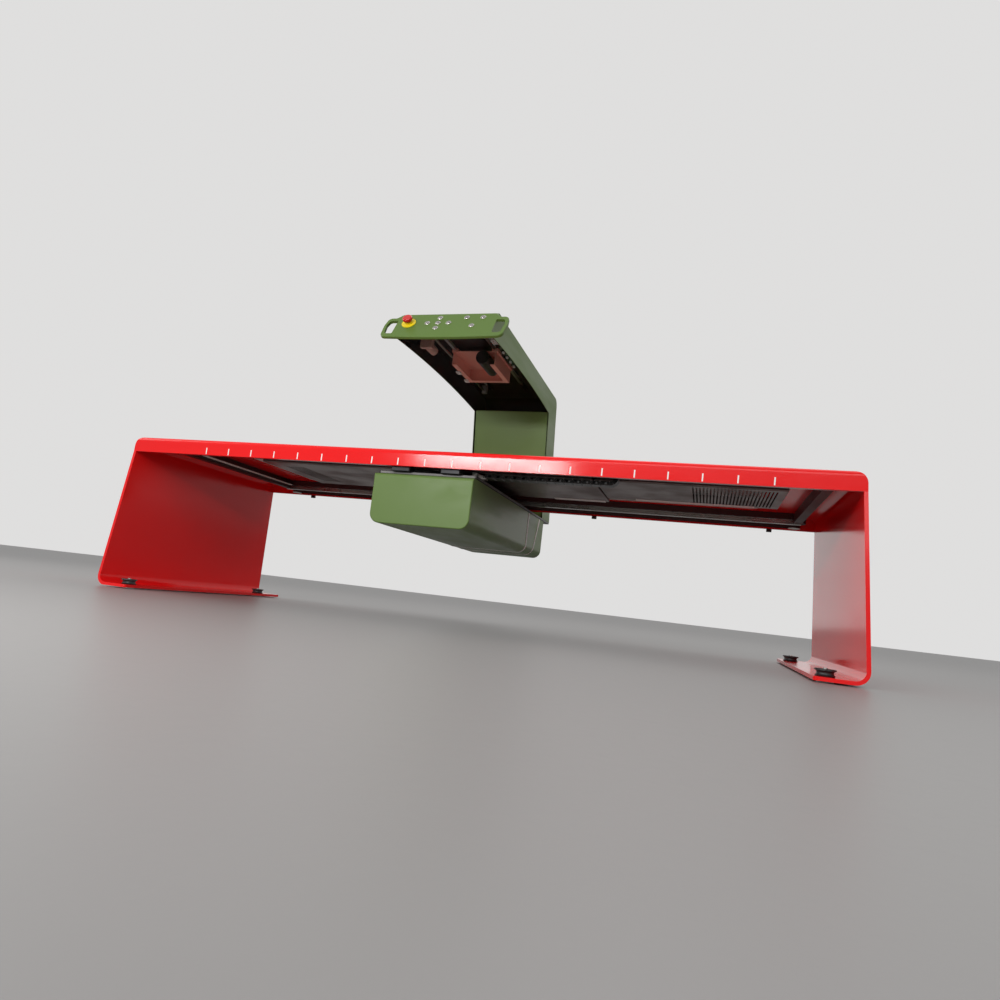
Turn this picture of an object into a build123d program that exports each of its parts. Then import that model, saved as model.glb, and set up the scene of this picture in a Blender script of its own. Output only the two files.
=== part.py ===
from build123d import *
from math import atan2, ceil, cos, radians, sin, tan
import os

# Bone densitometer: a long table folded from one red plate, and a green C shaped scanner that
# slides along it. The scanner's lower arm is the source box under the table top, its column
# stands behind the table, and its upper arm carries the detector over the patient.
# Millimetres. +X along the table to the right, +Y from the front to the back, +Z up.
# The origin is on the floor, under the middle of the whole machine.
# Depths are counted from the front face of the table's front apron, towards the back.

os.makedirs("parts", exist_ok=True)

# Table shell
table_height = 595.0
table_length = 2582.0        # at the top
table_depth = 900.0
plate = 11.0
end_bend = 38.0              # outside radius of the bends at the ends
apron_height = 59.0
apron_bend = 16.0            # outside radius along the front and the back
leg_splay = 33.0             # each leg stands out by this at the foot
leg_flare_front = 50.0
leg_flare_rear = 35.0
foot_width = 140.0
foot_corner = 14.0
foot_lift = 5.0              # the feet hang this far over the floor on their levelling pads

# Scan field and its window in the table top
scan_shift = 52.0            # middle of the scan field, to the right of the table's middle
scan_length = 2000.0
window_front = 120.0
window_depth = 610.0
window_corner = 25.0
ledge_width = 12.0
ledge_thick = 3.0
panel_play = 0.5
mark_pitch = 100.0
mark_width = 4.0
mark_height = 24.0
mark_lift = 3.0
mark_thick = 0.4

# Running gaps
shaft_play = 0.05
slide_play = 0.3
end_play = 1.0               # between a shaft's end and the bottom of its seat

# Rails and rail frame under the top
bar_width = 36.0
bar_height = 24.0
cross_bar_width = 30.0
cross_bar_height = 39.0
frame_inset = 89.0           # from the table's right end to the cross bar there
front_rail_inset = 27.0      # from the inside of the front apron
rear_rail_inset = 130.0      # from the table's back
rail_width = 20.0
rail_height = 18.0
rail_waist = 3.0
rail_seat = 5.0              # straight part under the bar
rail_foot = 4.0              # straight part at the bottom
rail_taper = 2.0

# Under pans
pan_left_inset = 501.0        # from the table's left end
pan_split = 502.0
pan_gap = 6.0
pan_right_inset = 186.0       # from the table's right end
pan_left_back = 560.0
pan_right_back = 470.0
pan_sheet = 1.5
pan_height = 36.0
pan_lip = 14.0
pan_bend = 4.0
vent_pitch = 11.0
vent_width = 5.0
vent_length = 290.0
vent_count_right = 24
vent_count_left = 8
screw_pitch = 260.0           # at most
screw_end = 30.0             # from the end of a pan to its first screw
screw_head = 8.0
screw_head_high = 3.0
screw_shank = 4.0

# Boards and supply that lie in the pans
supply_size = (240.0, 120.0, 26.0)
supply_foot = 12.0
supply_inset = 150.0          # from the left pan's end
supply_vent_pitch = 10.0
supply_vent_count = 17
supply_vent_deep = 3.0
board_size = (210.0, 150.0, 1.6)
board_post = 6.0
board_post_radius = 3.5
board_edge = 8.0             # from the board's edges to its posts
chip = 28.0
chip_high = 5.0
board_inset = 52.0            # from the right pan's inner end

# Belt drive behind the rear rail
belt_inset = 65.0            # from the table's back
belt_width = 12.0
belt_thick = 2.0
belt_lift = 16.0             # over the carriage plate
clamp_foot = (70.0, 26.0)
clamp_spare = 4.0            # of the clamp's post over the belt
clamp_chamfer = 2.0
pulley_radius = 20.0
pulley_flange = 3.0
pulley_rim = 1.5
pulley_shaft = 10.0
drive_inset = 91.0           # from the table's right end to the drive pulley
motor_radius = 42.0
motor_gap = 3.0
motor_edge = 3.0
bracket_sheet = 4.0
bracket_corner = 6.0
idler_plate = (90.0, 70.0)

# Levelling feet and their knobs
foot_knob_x = 104.0          # from the outside of the leg's foot to the knob's middle
foot_knob_front = 5.0
foot_knob_inset = 100.0      # from the table's back to the rear knobs
pad_radius = 22.0
stud_radius = 6.0
knob_radius = 29.0
knob_height = 20.0
knob_waist = 5.0
knob_lobes = 8
stud_top = 3.0

# Scanner carriage under the table
carriage_shift = -102.5      # rest place of the scanner, from the middle of the scan field
scanner_width = 365.0
carriage_sheet = 8.0
carriage_drop = 14.0         # from the apron's lower edge down to the carriage plate
carriage_front = 32.0
carriage_corner = 10.0
beam_slot_width = 60.0
beam_slot_spare = 55.0       # beyond the travel of the beam at both ends
block_length = 70.0
block_width = 48.0
block_gap = 8.0              # between the top of a block and its bar
block_offset = 92.0

# Source box
box_front = 5.0
box_height = 175.0
box_sheet = 3.0
box_corner = 35.0
box_front_bend = 13.0
box_edge = 4.0
box_lip = 40.0
box_reach = 145.0            # behind the table's back
box_back_bend = 16.0
seam_depth = 753.5
seam_gap = 3.0
tail_seam_top = 95.0         # from the box's back to the leaning seam, at its top
tail_seam_bottom = 177.0
seal_height = 4.0
seal_width = 9.0
seal_inset = 1.0
seam_lap = 7.0
strip_sheet = 1.5

# Column and upper arm
arm_sheet = 3.0
arm_clearance = 405.0        # from the table top up to the arm
arm_depth = 105.0
arm_arch = 15.0              # rise of the cheeks' lower edge at mid span
elbow_reach = 140.0          # of the elbow's outside, behind the table's back
elbow_inner_reach = 4.0      # of its inside, behind the table's back
elbow_bend = 42.0
column_reach = 250.0         # behind the table's back, at the foot
column_thick = 155.0         # at the foot
column_base = 8.0
cable_slot = (90.0, 40.0)     # hole for the cables in the column's base
cable_slot_x = 60.0
arm_edge = 5.0
panel_side_gap = 4.0
panel_inset = 5.0
panel_sheet = 2.0
panel_return = 16.0
cover_sheet = 3.0
cover_inset = 2.0

# Control plate on the arm's front
plate_angle = 57.0
plate_thick = 10.0
plate_top = 58.0             # depth of its upper edge
plate_drop = 5.0             # of its upper edge, from the arm's top
plate_length = 137.0         # along the slope, at the middle
plate_bow = 7.0              # of its lower edge, which rises toward the ears
plate_side_gap = 7.0         # from the end of its upper edge to the arm's side
handle_reach = 49.5          # of the handles, beyond the arm's side
handle_bar = 11.0            # beside the fingers
handle_bar_end = 17.0        # above and below them
plate_edge = 3.0
ear_shoulder = 21.0          # width and height of the slant that leads to each ear
ear_drop = 65.0              # from the upper edge down to where an ear is widest
ear_taper = 6.0              # by which it is narrower at its top and bottom
ear_root_bend = 10.0
ear_top_bend = 18.0
ear_side_bend = 60.0
ear_low_bend = 22.0
hole_width = 36.0            # at its widest
hole_bend = 12.0             # of its outer corners
hole_corner = 4.0            # of its inner corners
button_pitch = 40.0
arrows_x = -27.0             # middle of the five arrow buttons, from the plate's middle
scan_keys_x = 73.0           # first of the three others
button_rise = 30.0
button_row = -55.0
button_bezel = 9.75
button_bezel_high = 2.2
button_barrel = 8.0
button_barrel_long = 22.0
button_radius = 6.0
button_proud = 1.8
button_travel = 1.2
button_edge = 0.8
barrel_floor = 3.0           # closed inner end of the barrels
estop_inset = 37.5           # from the end of the plate's upper edge
estop_y = -55.0
estop_disc = 26.0
estop_disc_high = 2.5
estop_collar_radius = 14.5
estop_collar_high = 6.0
estop_barrel = 11.0
estop_cap = 18.0
estop_cap_high = 11.0
estop_stem = 8.0
estop_travel = 5.0
estop_gap = 1.5              # left between cap and collar when pressed
estop_crown = 5.5
estop_brim = 2.0

# Scan slides: the source in the box and the detector in the arm
scan_rest = 475.0            # depth of the beam at rest
scan_forward = 280.0         # travel of both scan slides from there
scan_backward = 260.0
scan_rail_width = 12.0
scan_rail_height = 12.0
scan_rail_waist = 2.0
scan_rail_front = 60.0
scan_rail_long = 800.0
scan_rail_offset = 138.0
detector_rail_shift = 16.0   # of the upper rails behind the lower ones
screw_radius = 5.0
slide_sheet = 6.0
slide_gap = 3.0              # between a slide's plate and its rails
slide_half_width = 152.0
slide_half_depth = 70.0
lug_length = 44.0
lug_width = 26.0
lug_gap = 4.0                # between the top of a lug and the rail's seat
tube_size = (170.0, 132.0, 104.0)
tube_round = 18.0
port_radius = 20.0
collimator_size = (50.0, 70.0, 14.0)
slit_width = 4.0
source_screw_x = 112.0
source_screw_drop = 20.0     # from the underside of the slide plate to the screw's middle
nut_length = 30.0
nut_wall = 6.0
motor_size = 42.0
motor_long = 52.0
motor_seat = 18.0            # depth of the seat for a shaft's end
motor_wall = 3.0             # left over behind such a seat
source_bearing = 52.0        # depth of the front of the screw's bearing
bearing_thick = 18.0
source_motor_front = 813.0
detector_x = -10.0           # middle of the detector's box, from the scanner's middle
detector_rise = 30.0         # of its floor over the arm's underside
detector_half_width = 90.0
detector_half_depth = 105.0
detector_rail_offset = 84.0
detector_sheet = 3.0
detector_flange = 20.0
detector_tube_long = 146.0
detector_tube_x = 30.0
detector_screw_inset = 62.5  # from the arm's left side
detector_screw_drop = 25.0   # from the inside of the arm's top
detector_motor_radius = 17.0
detector_motor_long = 70.0
detector_gear_spread = 19.5  # between the middles of the motor and of the screw
gear_wall = 2.0
detector_motor_front = 200.0
detector_bearing = 830.0
detector_nut_wall = 5.0
nut_shift = 60.0             # the detector's nut is this far behind the middle of its box
saddle_width = 44.0
saddle_long = 14.0
saddle_inset = 20.0          # of the rear saddle's back, from the back of the tube's place
saddle_spread = 54.0         # by which the saddles stand closer than the tube is long
tube_overhang = 48.0         # of the tube, ahead of the middle of its box
tube_chamfer = 1.5
tube_neck = 9.0
tube_neck_long = 12.0
board_strip = (30.0, 200.0, 2.0)
board_strip_inset = 60.5     # from the arm's right side
board_strip_front = 308.0
board_strip_drop = 24.0      # from the inside of the arm's top
board_strip_post = 4.0
plug_pitch = 22.0
plug_end_gap = 15.0
plug_face = (16.0, 14.0)
plug_high = 9.0

# Energy chain beside the front rail
chain_offset = 57.0          # behind the front rail
chain_width = 40.0
chain_height = 14.0
chain_pitch = 30.0
chain_clear = 2.0            # over the carriage plate, and under the table top
chain_pan_gap = 13.0         # from the chain to the pans
link_count_low = 14
link_count_high = 17
chain_gap = 0.3
anchor_foot = 36.0
bracket_reach = 52.0         # of the bracket on the carriage, ahead of the chain's start
plug_block = (16.0, 20.0)    # length and height

# Cable clips under the back apron
clip_left_inset = 251.0      # from the table's left end
clip_middle = 392.0          # from the table's middle
clip_right_inset = 179.0     # from the table's right end
clip_radius = 6.0
clip_bore = 3.5
clip_length = 20.0
clip_sink = 1.0              # from the apron's edge down to the ring

# Values worked out from the sizes above
half_length = table_length / 2
apron_low = table_height - apron_height
under_top = table_height - plate
scan_x = scan_shift
frame_half = half_length - scan_x - frame_inset
front_rail_depth = plate + front_rail_inset
rear_rail_depth = table_depth - rear_rail_inset
bar_low = under_top - bar_height
rail_low = bar_low - rail_height
foot_top = foot_lift + plate
foot_x = half_length + leg_splay - foot_knob_x
foot_knob_rear = table_depth - foot_knob_inset

carriage_x = scan_x + carriage_shift
half_scanner = scanner_width / 2
carriage_top = apron_low - carriage_drop
carriage_low = carriage_top - carriage_sheet
block_height = bar_low - block_gap - carriage_top
beam_slot_front = scan_rest - scan_forward - beam_slot_spare
beam_slot_back = scan_rest + scan_backward + beam_slot_spare
box_top = carriage_low - seal_height
box_low = box_top - box_height
box_back = table_depth + box_reach

belt_depth = table_depth - belt_inset
belt_low = carriage_top + belt_lift
drive_half = half_length - scan_x - drive_inset
chain_depth = front_rail_depth + chain_offset
chain_low = carriage_top + chain_clear
chain_radius = (under_top - chain_clear - chain_height - chain_low) / 2
pan_front = chain_depth + chain_width / 2 + chain_pan_gap
pan_left_start = pan_left_inset - half_length
pan_right_start = pan_split + pan_gap
pan_right_end = half_length - pan_right_inset
supply_start = pan_left_start + supply_inset
board_start = pan_right_start + board_inset

column_back = table_depth + column_reach
column_front = column_back - column_thick
elbow_outer = table_depth + elbow_reach
elbow_inner = table_depth + elbow_inner_reach
arm_underside = table_height + arm_clearance
arm_top = arm_underside + arm_depth
arm_ceiling = arm_top - arm_sheet
y_front = (leg_flare_front - column_back) / 2

slide_top = carriage_low - scan_rail_height - slide_gap
source_screw_z = slide_top - slide_sheet - source_screw_drop
detector_ceiling = arm_ceiling - scan_rail_height - slide_gap - detector_sheet
detector_floor = arm_underside + detector_rise
detector_radius = (detector_ceiling - detector_floor) / 2
detector_tube_z = (detector_ceiling + detector_floor) / 2
detector_screw_x = detector_screw_inset - half_scanner
detector_screw_z = arm_ceiling - detector_screw_drop
detector_motor_z = detector_floor + detector_motor_radius
board_strip_x = half_scanner - board_strip_inset

plate_half = half_scanner - plate_side_gap
handle_half = half_scanner + handle_reach
plate_top_height = arm_top - plate_drop
estop_x = estop_inset - plate_half
outward = Vector(0, -sin(radians(plate_angle)), cos(radians(plate_angle)))
plate_face = Plane(
    origin=(carriage_x, y_front + plate_top, plate_top_height), x_dir=(1, 0, 0), z_dir=outward
)
buttons = {
    "button_left": (arrows_x - button_pitch, button_row),
    "button_up": (arrows_x, button_row + button_rise),
    "button_centre": (arrows_x, button_row),
    "button_right": (arrows_x + button_pitch, button_row),
    "button_down": (arrows_x, button_row - button_rise),
    "button_laser": (scan_keys_x, button_row + button_rise),
    "button_start": (scan_keys_x + 1.5 * button_pitch, button_row + button_rise),
    "button_stop": (scan_keys_x + 0.75 * button_pitch, button_row - 0.6 * button_rise),
}


def across(depth):
    """Upright plane that faces the front; an extrusion comes forward from this depth."""
    return Plane(origin=(0, y_front + depth, 0), x_dir=(1, 0, 0), z_dir=(0, -1, 0))


def along(x):
    """Upright plane that faces the right; its own axes are depth and height."""
    return Plane(origin=(x, y_front, 0), x_dir=(0, 1, 0), z_dir=(1, 0, 0))


def level(z, x=0.0, depth=0.0):
    """Level plane at a height, with its own origin at x and depth."""
    return Plane(origin=(x, y_front + depth, z), x_dir=(1, 0, 0), z_dir=(0, 0, 1))


def save(piece, name):
    """Label one finished piece and write it."""
    piece.part.label = name
    export_step(piece.part, f"parts/{name}.step")


# Table shell, folded from one plate


def end_outline(inward=0.0):
    """Outline of the folded table seen from the front, moved inward by a wall."""
    foot_half = half_length + leg_splay
    corners = [
        (-foot_half, foot_lift),
        (foot_half, foot_lift),
        (half_length, table_height),
        (-half_length, table_height),
    ]
    with BuildSketch() as outline:
        with BuildLine():
            Polyline(*corners, close=True)
        make_face()
        fillet(outline.vertices(), end_bend)
        if inward:
            offset(amount=-inward, mode=Mode.REPLACE)
    return outline.sketch


def side_outline():
    """Outline of the table seen from its end, with the legs wider at the foot."""
    with BuildSketch() as outline:
        with BuildLine():
            Polyline(
                (-leg_flare_front, foot_lift),
                (0, apron_low),
                (0, table_height),
                (table_depth, table_height),
                (table_depth, apron_low),
                (table_depth + leg_flare_rear, foot_lift),
                close=True,
            )
        make_face()
        fillet(outline.vertices().group_by(Axis.Y)[-1], apron_bend)
    return outline.sketch


def build_table_shell():
    reach = table_depth + leg_flare_front + leg_flare_rear
    back = table_depth + leg_flare_rear
    with BuildPart() as room:
        with BuildSketch(across(table_depth - plate)):
            add(end_outline(plate))
        extrude(amount=table_depth - 2 * plate)
    with BuildPart() as shell:
        with BuildSketch(across(back)):
            add(end_outline())
        extrude(amount=reach)
        with BuildSketch(along(0)):
            add(side_outline())
        extrude(amount=table_length, both=True, mode=Mode.INTERSECT)
        add(room.part, mode=Mode.SUBTRACT)
        with BuildSketch(across(back)):
            add(end_outline(plate))
            with Locations((0, apron_low + table_height / 2)):
                Rectangle(2 * table_length, table_height, mode=Mode.SUBTRACT)
        extrude(amount=reach, mode=Mode.SUBTRACT)
        inner = half_length + leg_splay - foot_width
        with BuildSketch(level(0, 0, (back - leg_flare_front) / 2)):
            Rectangle(2 * (inner + foot_corner), reach + 20)
            with Locations((-half_length, 0), (half_length, 0)):
                RectangleRounded(
                    2 * (half_length - inner), reach, foot_corner, mode=Mode.SUBTRACT
                )
        extrude(amount=foot_top + plate, mode=Mode.SUBTRACT)
        window = level(table_height, scan_x, window_front + window_depth / 2)
        with BuildSketch(window):
            RectangleRounded(scan_length, window_depth, window_corner)
        extrude(amount=-plate, mode=Mode.SUBTRACT)
        with BuildSketch(window):
            RectangleRounded(
                scan_length + 2 * ledge_width, window_depth + 2 * ledge_width, window_corner
            )
        extrude(amount=-(plate - ledge_thick), mode=Mode.SUBTRACT)
        with BuildSketch(level(foot_lift)):
            with Locations(*foot_points()):
                Circle(stud_radius + shaft_play)
        extrude(amount=plate, mode=Mode.SUBTRACT)
    save(shell, "table_shell")


def foot_points():
    """Middles of the four levelling feet, on the floor plan of the level plane."""
    return [(sx * foot_x, d) for sx in (-1, 1) for d in (foot_knob_front, foot_knob_rear)]


def build_top_panel():
    with BuildPart() as panel:
        with BuildSketch(level(under_top + ledge_thick, scan_x, window_front + window_depth / 2)):
            RectangleRounded(
                scan_length + 2 * (ledge_width - panel_play),
                window_depth + 2 * (ledge_width - panel_play),
                window_corner - panel_play,
            )
        extrude(amount=plate - ledge_thick)
        chamfer(panel.faces().sort_by(Axis.Z)[-1].edges(), 0.8)
    save(panel, "top_panel")


def build_scale_marks():
    count = int(scan_length / mark_pitch) + 1
    with BuildPart() as marks:
        with BuildSketch(across(0)):
            with Locations((scan_x, apron_low + mark_lift + mark_height / 2)):
                with GridLocations(mark_pitch, 0, count, 1):
                    Rectangle(mark_width, mark_height)
        extrude(amount=mark_thick)
    save(marks, "scale_marks")


# Rail frame and rails


def build_rail_frame():
    bar_middle = (front_rail_depth, rear_rail_depth)
    with BuildPart() as frame:
        with BuildSketch(level(bar_low, scan_x)):
            with Locations(*[(0, depth) for depth in bar_middle]):
                Rectangle(2 * frame_half + cross_bar_width, bar_width)
        extrude(amount=bar_height)
        span = rear_rail_depth - front_rail_depth - bar_width
        with BuildSketch(level(under_top - cross_bar_height, scan_x)):
            with Locations((0, (front_rail_depth + rear_rail_depth) / 2)):
                with GridLocations(2 * frame_half, 0, 2, 1):
                    Rectangle(cross_bar_width, span)
        extrude(amount=cross_bar_height)
    save(frame, "rail_frame")


def rail_section(depth, play=0.0):
    """Cross section of a waisted rail that hangs under its bar, seen from the end."""
    half = rail_width / 2
    neck_top = bar_low - rail_seat
    neck_low = rail_low + rail_foot
    with BuildSketch() as section:
        with BuildLine():
            Polyline(
                (depth - half, bar_low),
                (depth - half, neck_top),
                (depth - half + rail_waist, neck_top - rail_taper),
                (depth - half + rail_waist, neck_low + rail_taper),
                (depth - half, neck_low),
                (depth - half, rail_low),
                (depth + half, rail_low),
                (depth + half, neck_low),
                (depth + half - rail_waist, neck_low + rail_taper),
                (depth + half - rail_waist, neck_top - rail_taper),
                (depth + half, neck_top),
                (depth + half, bar_low),
                close=True,
            )
        make_face()
        if play:
            offset(amount=play, kind=Kind.INTERSECTION, mode=Mode.REPLACE)
    return section.sketch


def build_carriage_rails():
    with BuildPart() as rails:
        for depth in (front_rail_depth, rear_rail_depth):
            with BuildSketch(along(scan_x)):
                add(rail_section(depth))
            extrude(amount=frame_half + cross_bar_width / 2, both=True)
    save(rails, "carriage_rails")


# Under pans with what lies in them


def build_pan(name, start, end, back, vent_start, vents):
    """Folded sheet pan, open at the top, with a lip along its front and its back."""
    length = end - start
    depth = back - pan_front
    low = under_top - pan_height
    middle = (start + end) / 2
    centre = pan_front + depth / 2
    with BuildPart() as pan:
        with BuildSketch(level(low, middle, centre)):
            RectangleRounded(length, depth, pan_bend)
        extrude(amount=pan_height)
        fillet(pan.faces().sort_by(Axis.Z)[0].edges(), pan_bend)
        top = pan.faces().sort_by(Axis.Z)[-1]
        offset(amount=-pan_sheet, openings=top)
        with BuildSketch(level(under_top - pan_sheet, middle, centre)):
            for side in (-1, 1):
                with Locations((0, side * (depth + pan_lip) / 2)):
                    Rectangle(length - 2 * pan_bend, pan_lip + 0.02)
        extrude(amount=pan_sheet)
        with BuildSketch(level(low, vent_start, pan_front)):
            with Locations(((vents - 1) * vent_pitch / 2, (back - pan_front) / 2)):
                with GridLocations(vent_pitch, 0, vents, 1):
                    SlotOverall(vent_length, vent_width, rotation=90)
        extrude(amount=pan_sheet, mode=Mode.SUBTRACT)
        with BuildSketch(level(under_top)):
            with Locations(*pan_screw_points(start, end, back)):
                Circle(screw_shank / 2 + shaft_play)
        extrude(amount=-pan_sheet, mode=Mode.SUBTRACT)
    save(pan, name)


def pan_screw_points(start, end, back):
    """Screws along both lips of a pan."""
    count = ceil((end - start) / screw_pitch)
    step = (end - start - 2 * screw_end) / (count - 1)
    rows = (pan_front - pan_lip / 2, back + pan_lip / 2)
    return [(start + screw_end + i * step, row) for i in range(count) for row in rows]


def build_pan_screws():
    points = pan_screw_points(pan_left_start, pan_split, pan_left_back)
    points += pan_screw_points(pan_right_start, pan_right_end, pan_right_back)
    with BuildPart() as screws:
        with BuildSketch(level(under_top - pan_sheet)):
            with Locations(*points):
                Circle(screw_head / 2)
        extrude(amount=-screw_head_high)
        with BuildSketch(level(under_top)):
            with Locations(*points):
                Circle(screw_shank / 2)
        extrude(amount=-pan_sheet)
    save(screws, "pan_screws")


def build_power_supply():
    length, width, height = supply_size
    low = under_top - pan_height + pan_sheet
    depth = (pan_front + pan_left_back) / 2
    with BuildPart() as supply:
        with BuildSketch(level(low, supply_start + length / 2, depth)):
            RectangleRounded(length, width, pan_bend)
        extrude(amount=height)
        with BuildSketch(level(low, supply_start + length / 2, depth)):
            Rectangle(length + 2 * supply_foot, width * 0.7)
        extrude(amount=pan_sheet)
        with BuildSketch(level(low + height, supply_start + length / 2, depth)):
            with GridLocations(supply_vent_pitch, 0, supply_vent_count, 1):
                SlotOverall(width * 0.6, supply_vent_pitch * 0.4, rotation=90)
        extrude(amount=-supply_vent_deep, mode=Mode.SUBTRACT)
    save(supply, "power_supply")


def build_control_board():
    length, width, thick = board_size
    low = under_top - pan_height + pan_sheet
    depth = (pan_front + pan_right_back) / 2
    middle = board_start + length / 2
    with BuildPart() as board:
        with BuildSketch(level(low + board_post, middle, depth)):
            Rectangle(length, width)
        extrude(amount=thick)
        with BuildSketch(level(low, middle, depth)):
            with GridLocations(length - 2 * board_edge, width - 2 * board_edge, 2, 2):
                Circle(board_post_radius)
        extrude(amount=board_post)
        with BuildSketch(level(low + board_post + thick, middle, depth)):
            with GridLocations(1.6 * chip, 0, 3, 1):
                Rectangle(chip, chip)
            with Locations((0, width / 2 - 1.5 * board_edge)):
                Rectangle(length * 0.7, 1.5 * board_edge)
        extrude(amount=chip_high)
    save(board, "control_board")


# Belt drive along the table


def build_drive_belt():
    """Closed belt round both pulleys, lying level."""
    outer = pulley_radius + belt_thick
    with BuildPart() as belt:
        with BuildSketch(level(belt_low, scan_x, belt_depth)):
            SlotCenterToCenter(2 * drive_half, 2 * outer)
            SlotCenterToCenter(2 * drive_half, 2 * pulley_radius, mode=Mode.SUBTRACT)
        extrude(amount=belt_width)
    save(belt, "drive_belt")


def build_pulley(name, side):
    """Flanged pulley in one piece with the shaft above it."""
    groove = pulley_radius - slide_play
    rim = groove + pulley_flange
    low = belt_low - pulley_rim - slide_play
    high = belt_low + belt_width + slide_play
    shaft_top = high + pulley_rim + motor_gap + motor_seat
    with BuildPart() as pulley:
        with BuildSketch(level(low, scan_x + side * drive_half, belt_depth)):
            Circle(rim)
        extrude(amount=pulley_rim)
        with BuildSketch(level(low + pulley_rim, scan_x + side * drive_half, belt_depth)):
            Circle(groove)
        extrude(amount=high - low - pulley_rim)
        with BuildSketch(level(high, scan_x + side * drive_half, belt_depth)):
            Circle(rim)
        extrude(amount=pulley_rim)
        with BuildSketch(level(high, scan_x + side * drive_half, belt_depth)):
            Circle(pulley_shaft / 2)
        extrude(amount=shaft_top - high)
    save(pulley, name)


def pulley_seat_low():
    """Height of the underside of what carries a pulley's shaft."""
    return belt_low + belt_width + slide_play + pulley_rim + motor_gap


def build_drive_motor():
    """Flat motor screwed to the underside of the table top, over its pulley."""
    low = pulley_seat_low()
    with BuildPart() as motor:
        with BuildSketch(level(low, scan_x + drive_half, belt_depth)):
            Circle(motor_radius)
        extrude(amount=under_top - low)
        fillet(motor.faces().sort_by(Axis.Z)[0].edges(), motor_edge)
        with BuildSketch(level(under_top, scan_x + drive_half, belt_depth)):
            Rectangle(2 * motor_radius, 2 * motor_radius)
        extrude(amount=-bracket_sheet)
        with BuildSketch(level(low, scan_x + drive_half, belt_depth)):
            Circle(pulley_shaft / 2 + shaft_play)
        extrude(amount=motor_seat + motor_gap, mode=Mode.SUBTRACT)
    save(motor, "drive_motor")


def build_idler_bracket():
    """Bracket under the top that holds the idler pulley's shaft."""
    low = pulley_seat_low()
    with BuildPart() as bracket:
        with BuildSketch(level(under_top, scan_x - drive_half, belt_depth)):
            RectangleRounded(*idler_plate, bracket_corner)
        extrude(amount=-bracket_sheet)
        with BuildSketch(level(under_top, scan_x - drive_half, belt_depth)):
            Circle(pulley_shaft)
        extrude(amount=low - under_top)
        with BuildSketch(level(low, scan_x - drive_half, belt_depth)):
            Circle(pulley_shaft / 2 + shaft_play)
        extrude(amount=motor_seat + motor_gap, mode=Mode.SUBTRACT)
    save(bracket, "idler_bracket")


# Energy chain and its ends


def chain_line():
    """Start of the chain, heights of its lower and upper runs, and the x where it turns."""
    start = carriage_x + half_scanner + chain_pitch / 2
    low = chain_low + chain_height / 2
    return start, low, low + 2 * chain_radius, start + link_count_low * chain_pitch


def build_energy_chain():
    """Rows of plastic links, each open through its middle, and the links of the turn."""
    start, low, high, turn_x = chain_line()
    depth = chain_depth + chain_width / 2
    mouth = chain_height / 2
    with BuildPart() as chain:
        for row, links, first in (
            (low, link_count_low, start + chain_pitch / 2),
            (high, link_count_high, turn_x - (link_count_high - 0.5) * chain_pitch),
        ):
            with BuildSketch(across(depth)):
                with Locations(*[(first + i * chain_pitch, row) for i in range(links)]):
                    RectangleRounded(chain_pitch - chain_gap, chain_height, chain_height * 0.3)
                    Rectangle(chain_pitch * 0.45, mouth, mode=Mode.SUBTRACT)
            extrude(amount=chain_width)
            with BuildSketch(across(depth - chain_width / 6)):
                with Locations(*[(first + i * chain_pitch, row) for i in range(links)]):
                    Rectangle(chain_pitch + 1, mouth)
            extrude(amount=chain_width * 2 / 3, mode=Mode.SUBTRACT)
        with BuildSketch(across(depth)):
            with Locations((turn_x + chain_gap, (low + high) / 2)):
                Circle(chain_radius + chain_height / 2)
                Circle(chain_radius - chain_height / 2, mode=Mode.SUBTRACT)
                with Locations((-chain_radius * 2, 0)):
                    Rectangle(chain_radius * 4, chain_radius * 4, mode=Mode.SUBTRACT)
                with PolarLocations(chain_radius + chain_height / 2, 3, -60, 120, endpoint=True):
                    Rectangle(chain_height * 0.7, 1.5, mode=Mode.SUBTRACT)
        extrude(amount=chain_width)
    save(chain, "energy_chain")


def build_chain_anchor():
    """Angle on the underside of the top that holds the chain's fixed end."""
    start, low_run, high_run, turn_x = chain_line()
    end = turn_x - link_count_high * chain_pitch
    low = high_run - chain_height / 2
    wide = chain_width * 0.6
    with BuildPart() as anchor:
        with BuildSketch(level(low, end - anchor_foot / 2, chain_depth)):
            Rectangle(anchor_foot, wide)
        extrude(amount=bracket_sheet)
        with BuildSketch(level(low, end - anchor_foot + bracket_sheet / 2, chain_depth)):
            Rectangle(bracket_sheet, wide)
        extrude(amount=under_top - low)
    save(anchor, "chain_anchor")


def build_chain_bracket():
    """Angle on the carriage plate with the plug block where the cables go in."""
    start = chain_line()[0]
    end = start - bracket_reach
    with BuildPart() as bracket:
        with BuildSketch(level(carriage_top, start - bracket_reach / 2 - chain_gap, chain_depth)):
            Rectangle(bracket_reach, chain_width * 0.62)
        extrude(amount=bracket_sheet)
        with BuildSketch(level(carriage_top, end + plug_block[0] * 0.75, chain_depth)):
            Rectangle(plug_block[0], chain_width * 0.9)
        extrude(amount=plug_block[1])
        with BuildSketch(level(carriage_top, end + plug_block[0] * 2, chain_depth)):
            Rectangle(plug_block[0] * 0.9, chain_width * 0.5)
        extrude(amount=plug_block[1] * 0.65)
    save(bracket, "chain_bracket")


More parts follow.
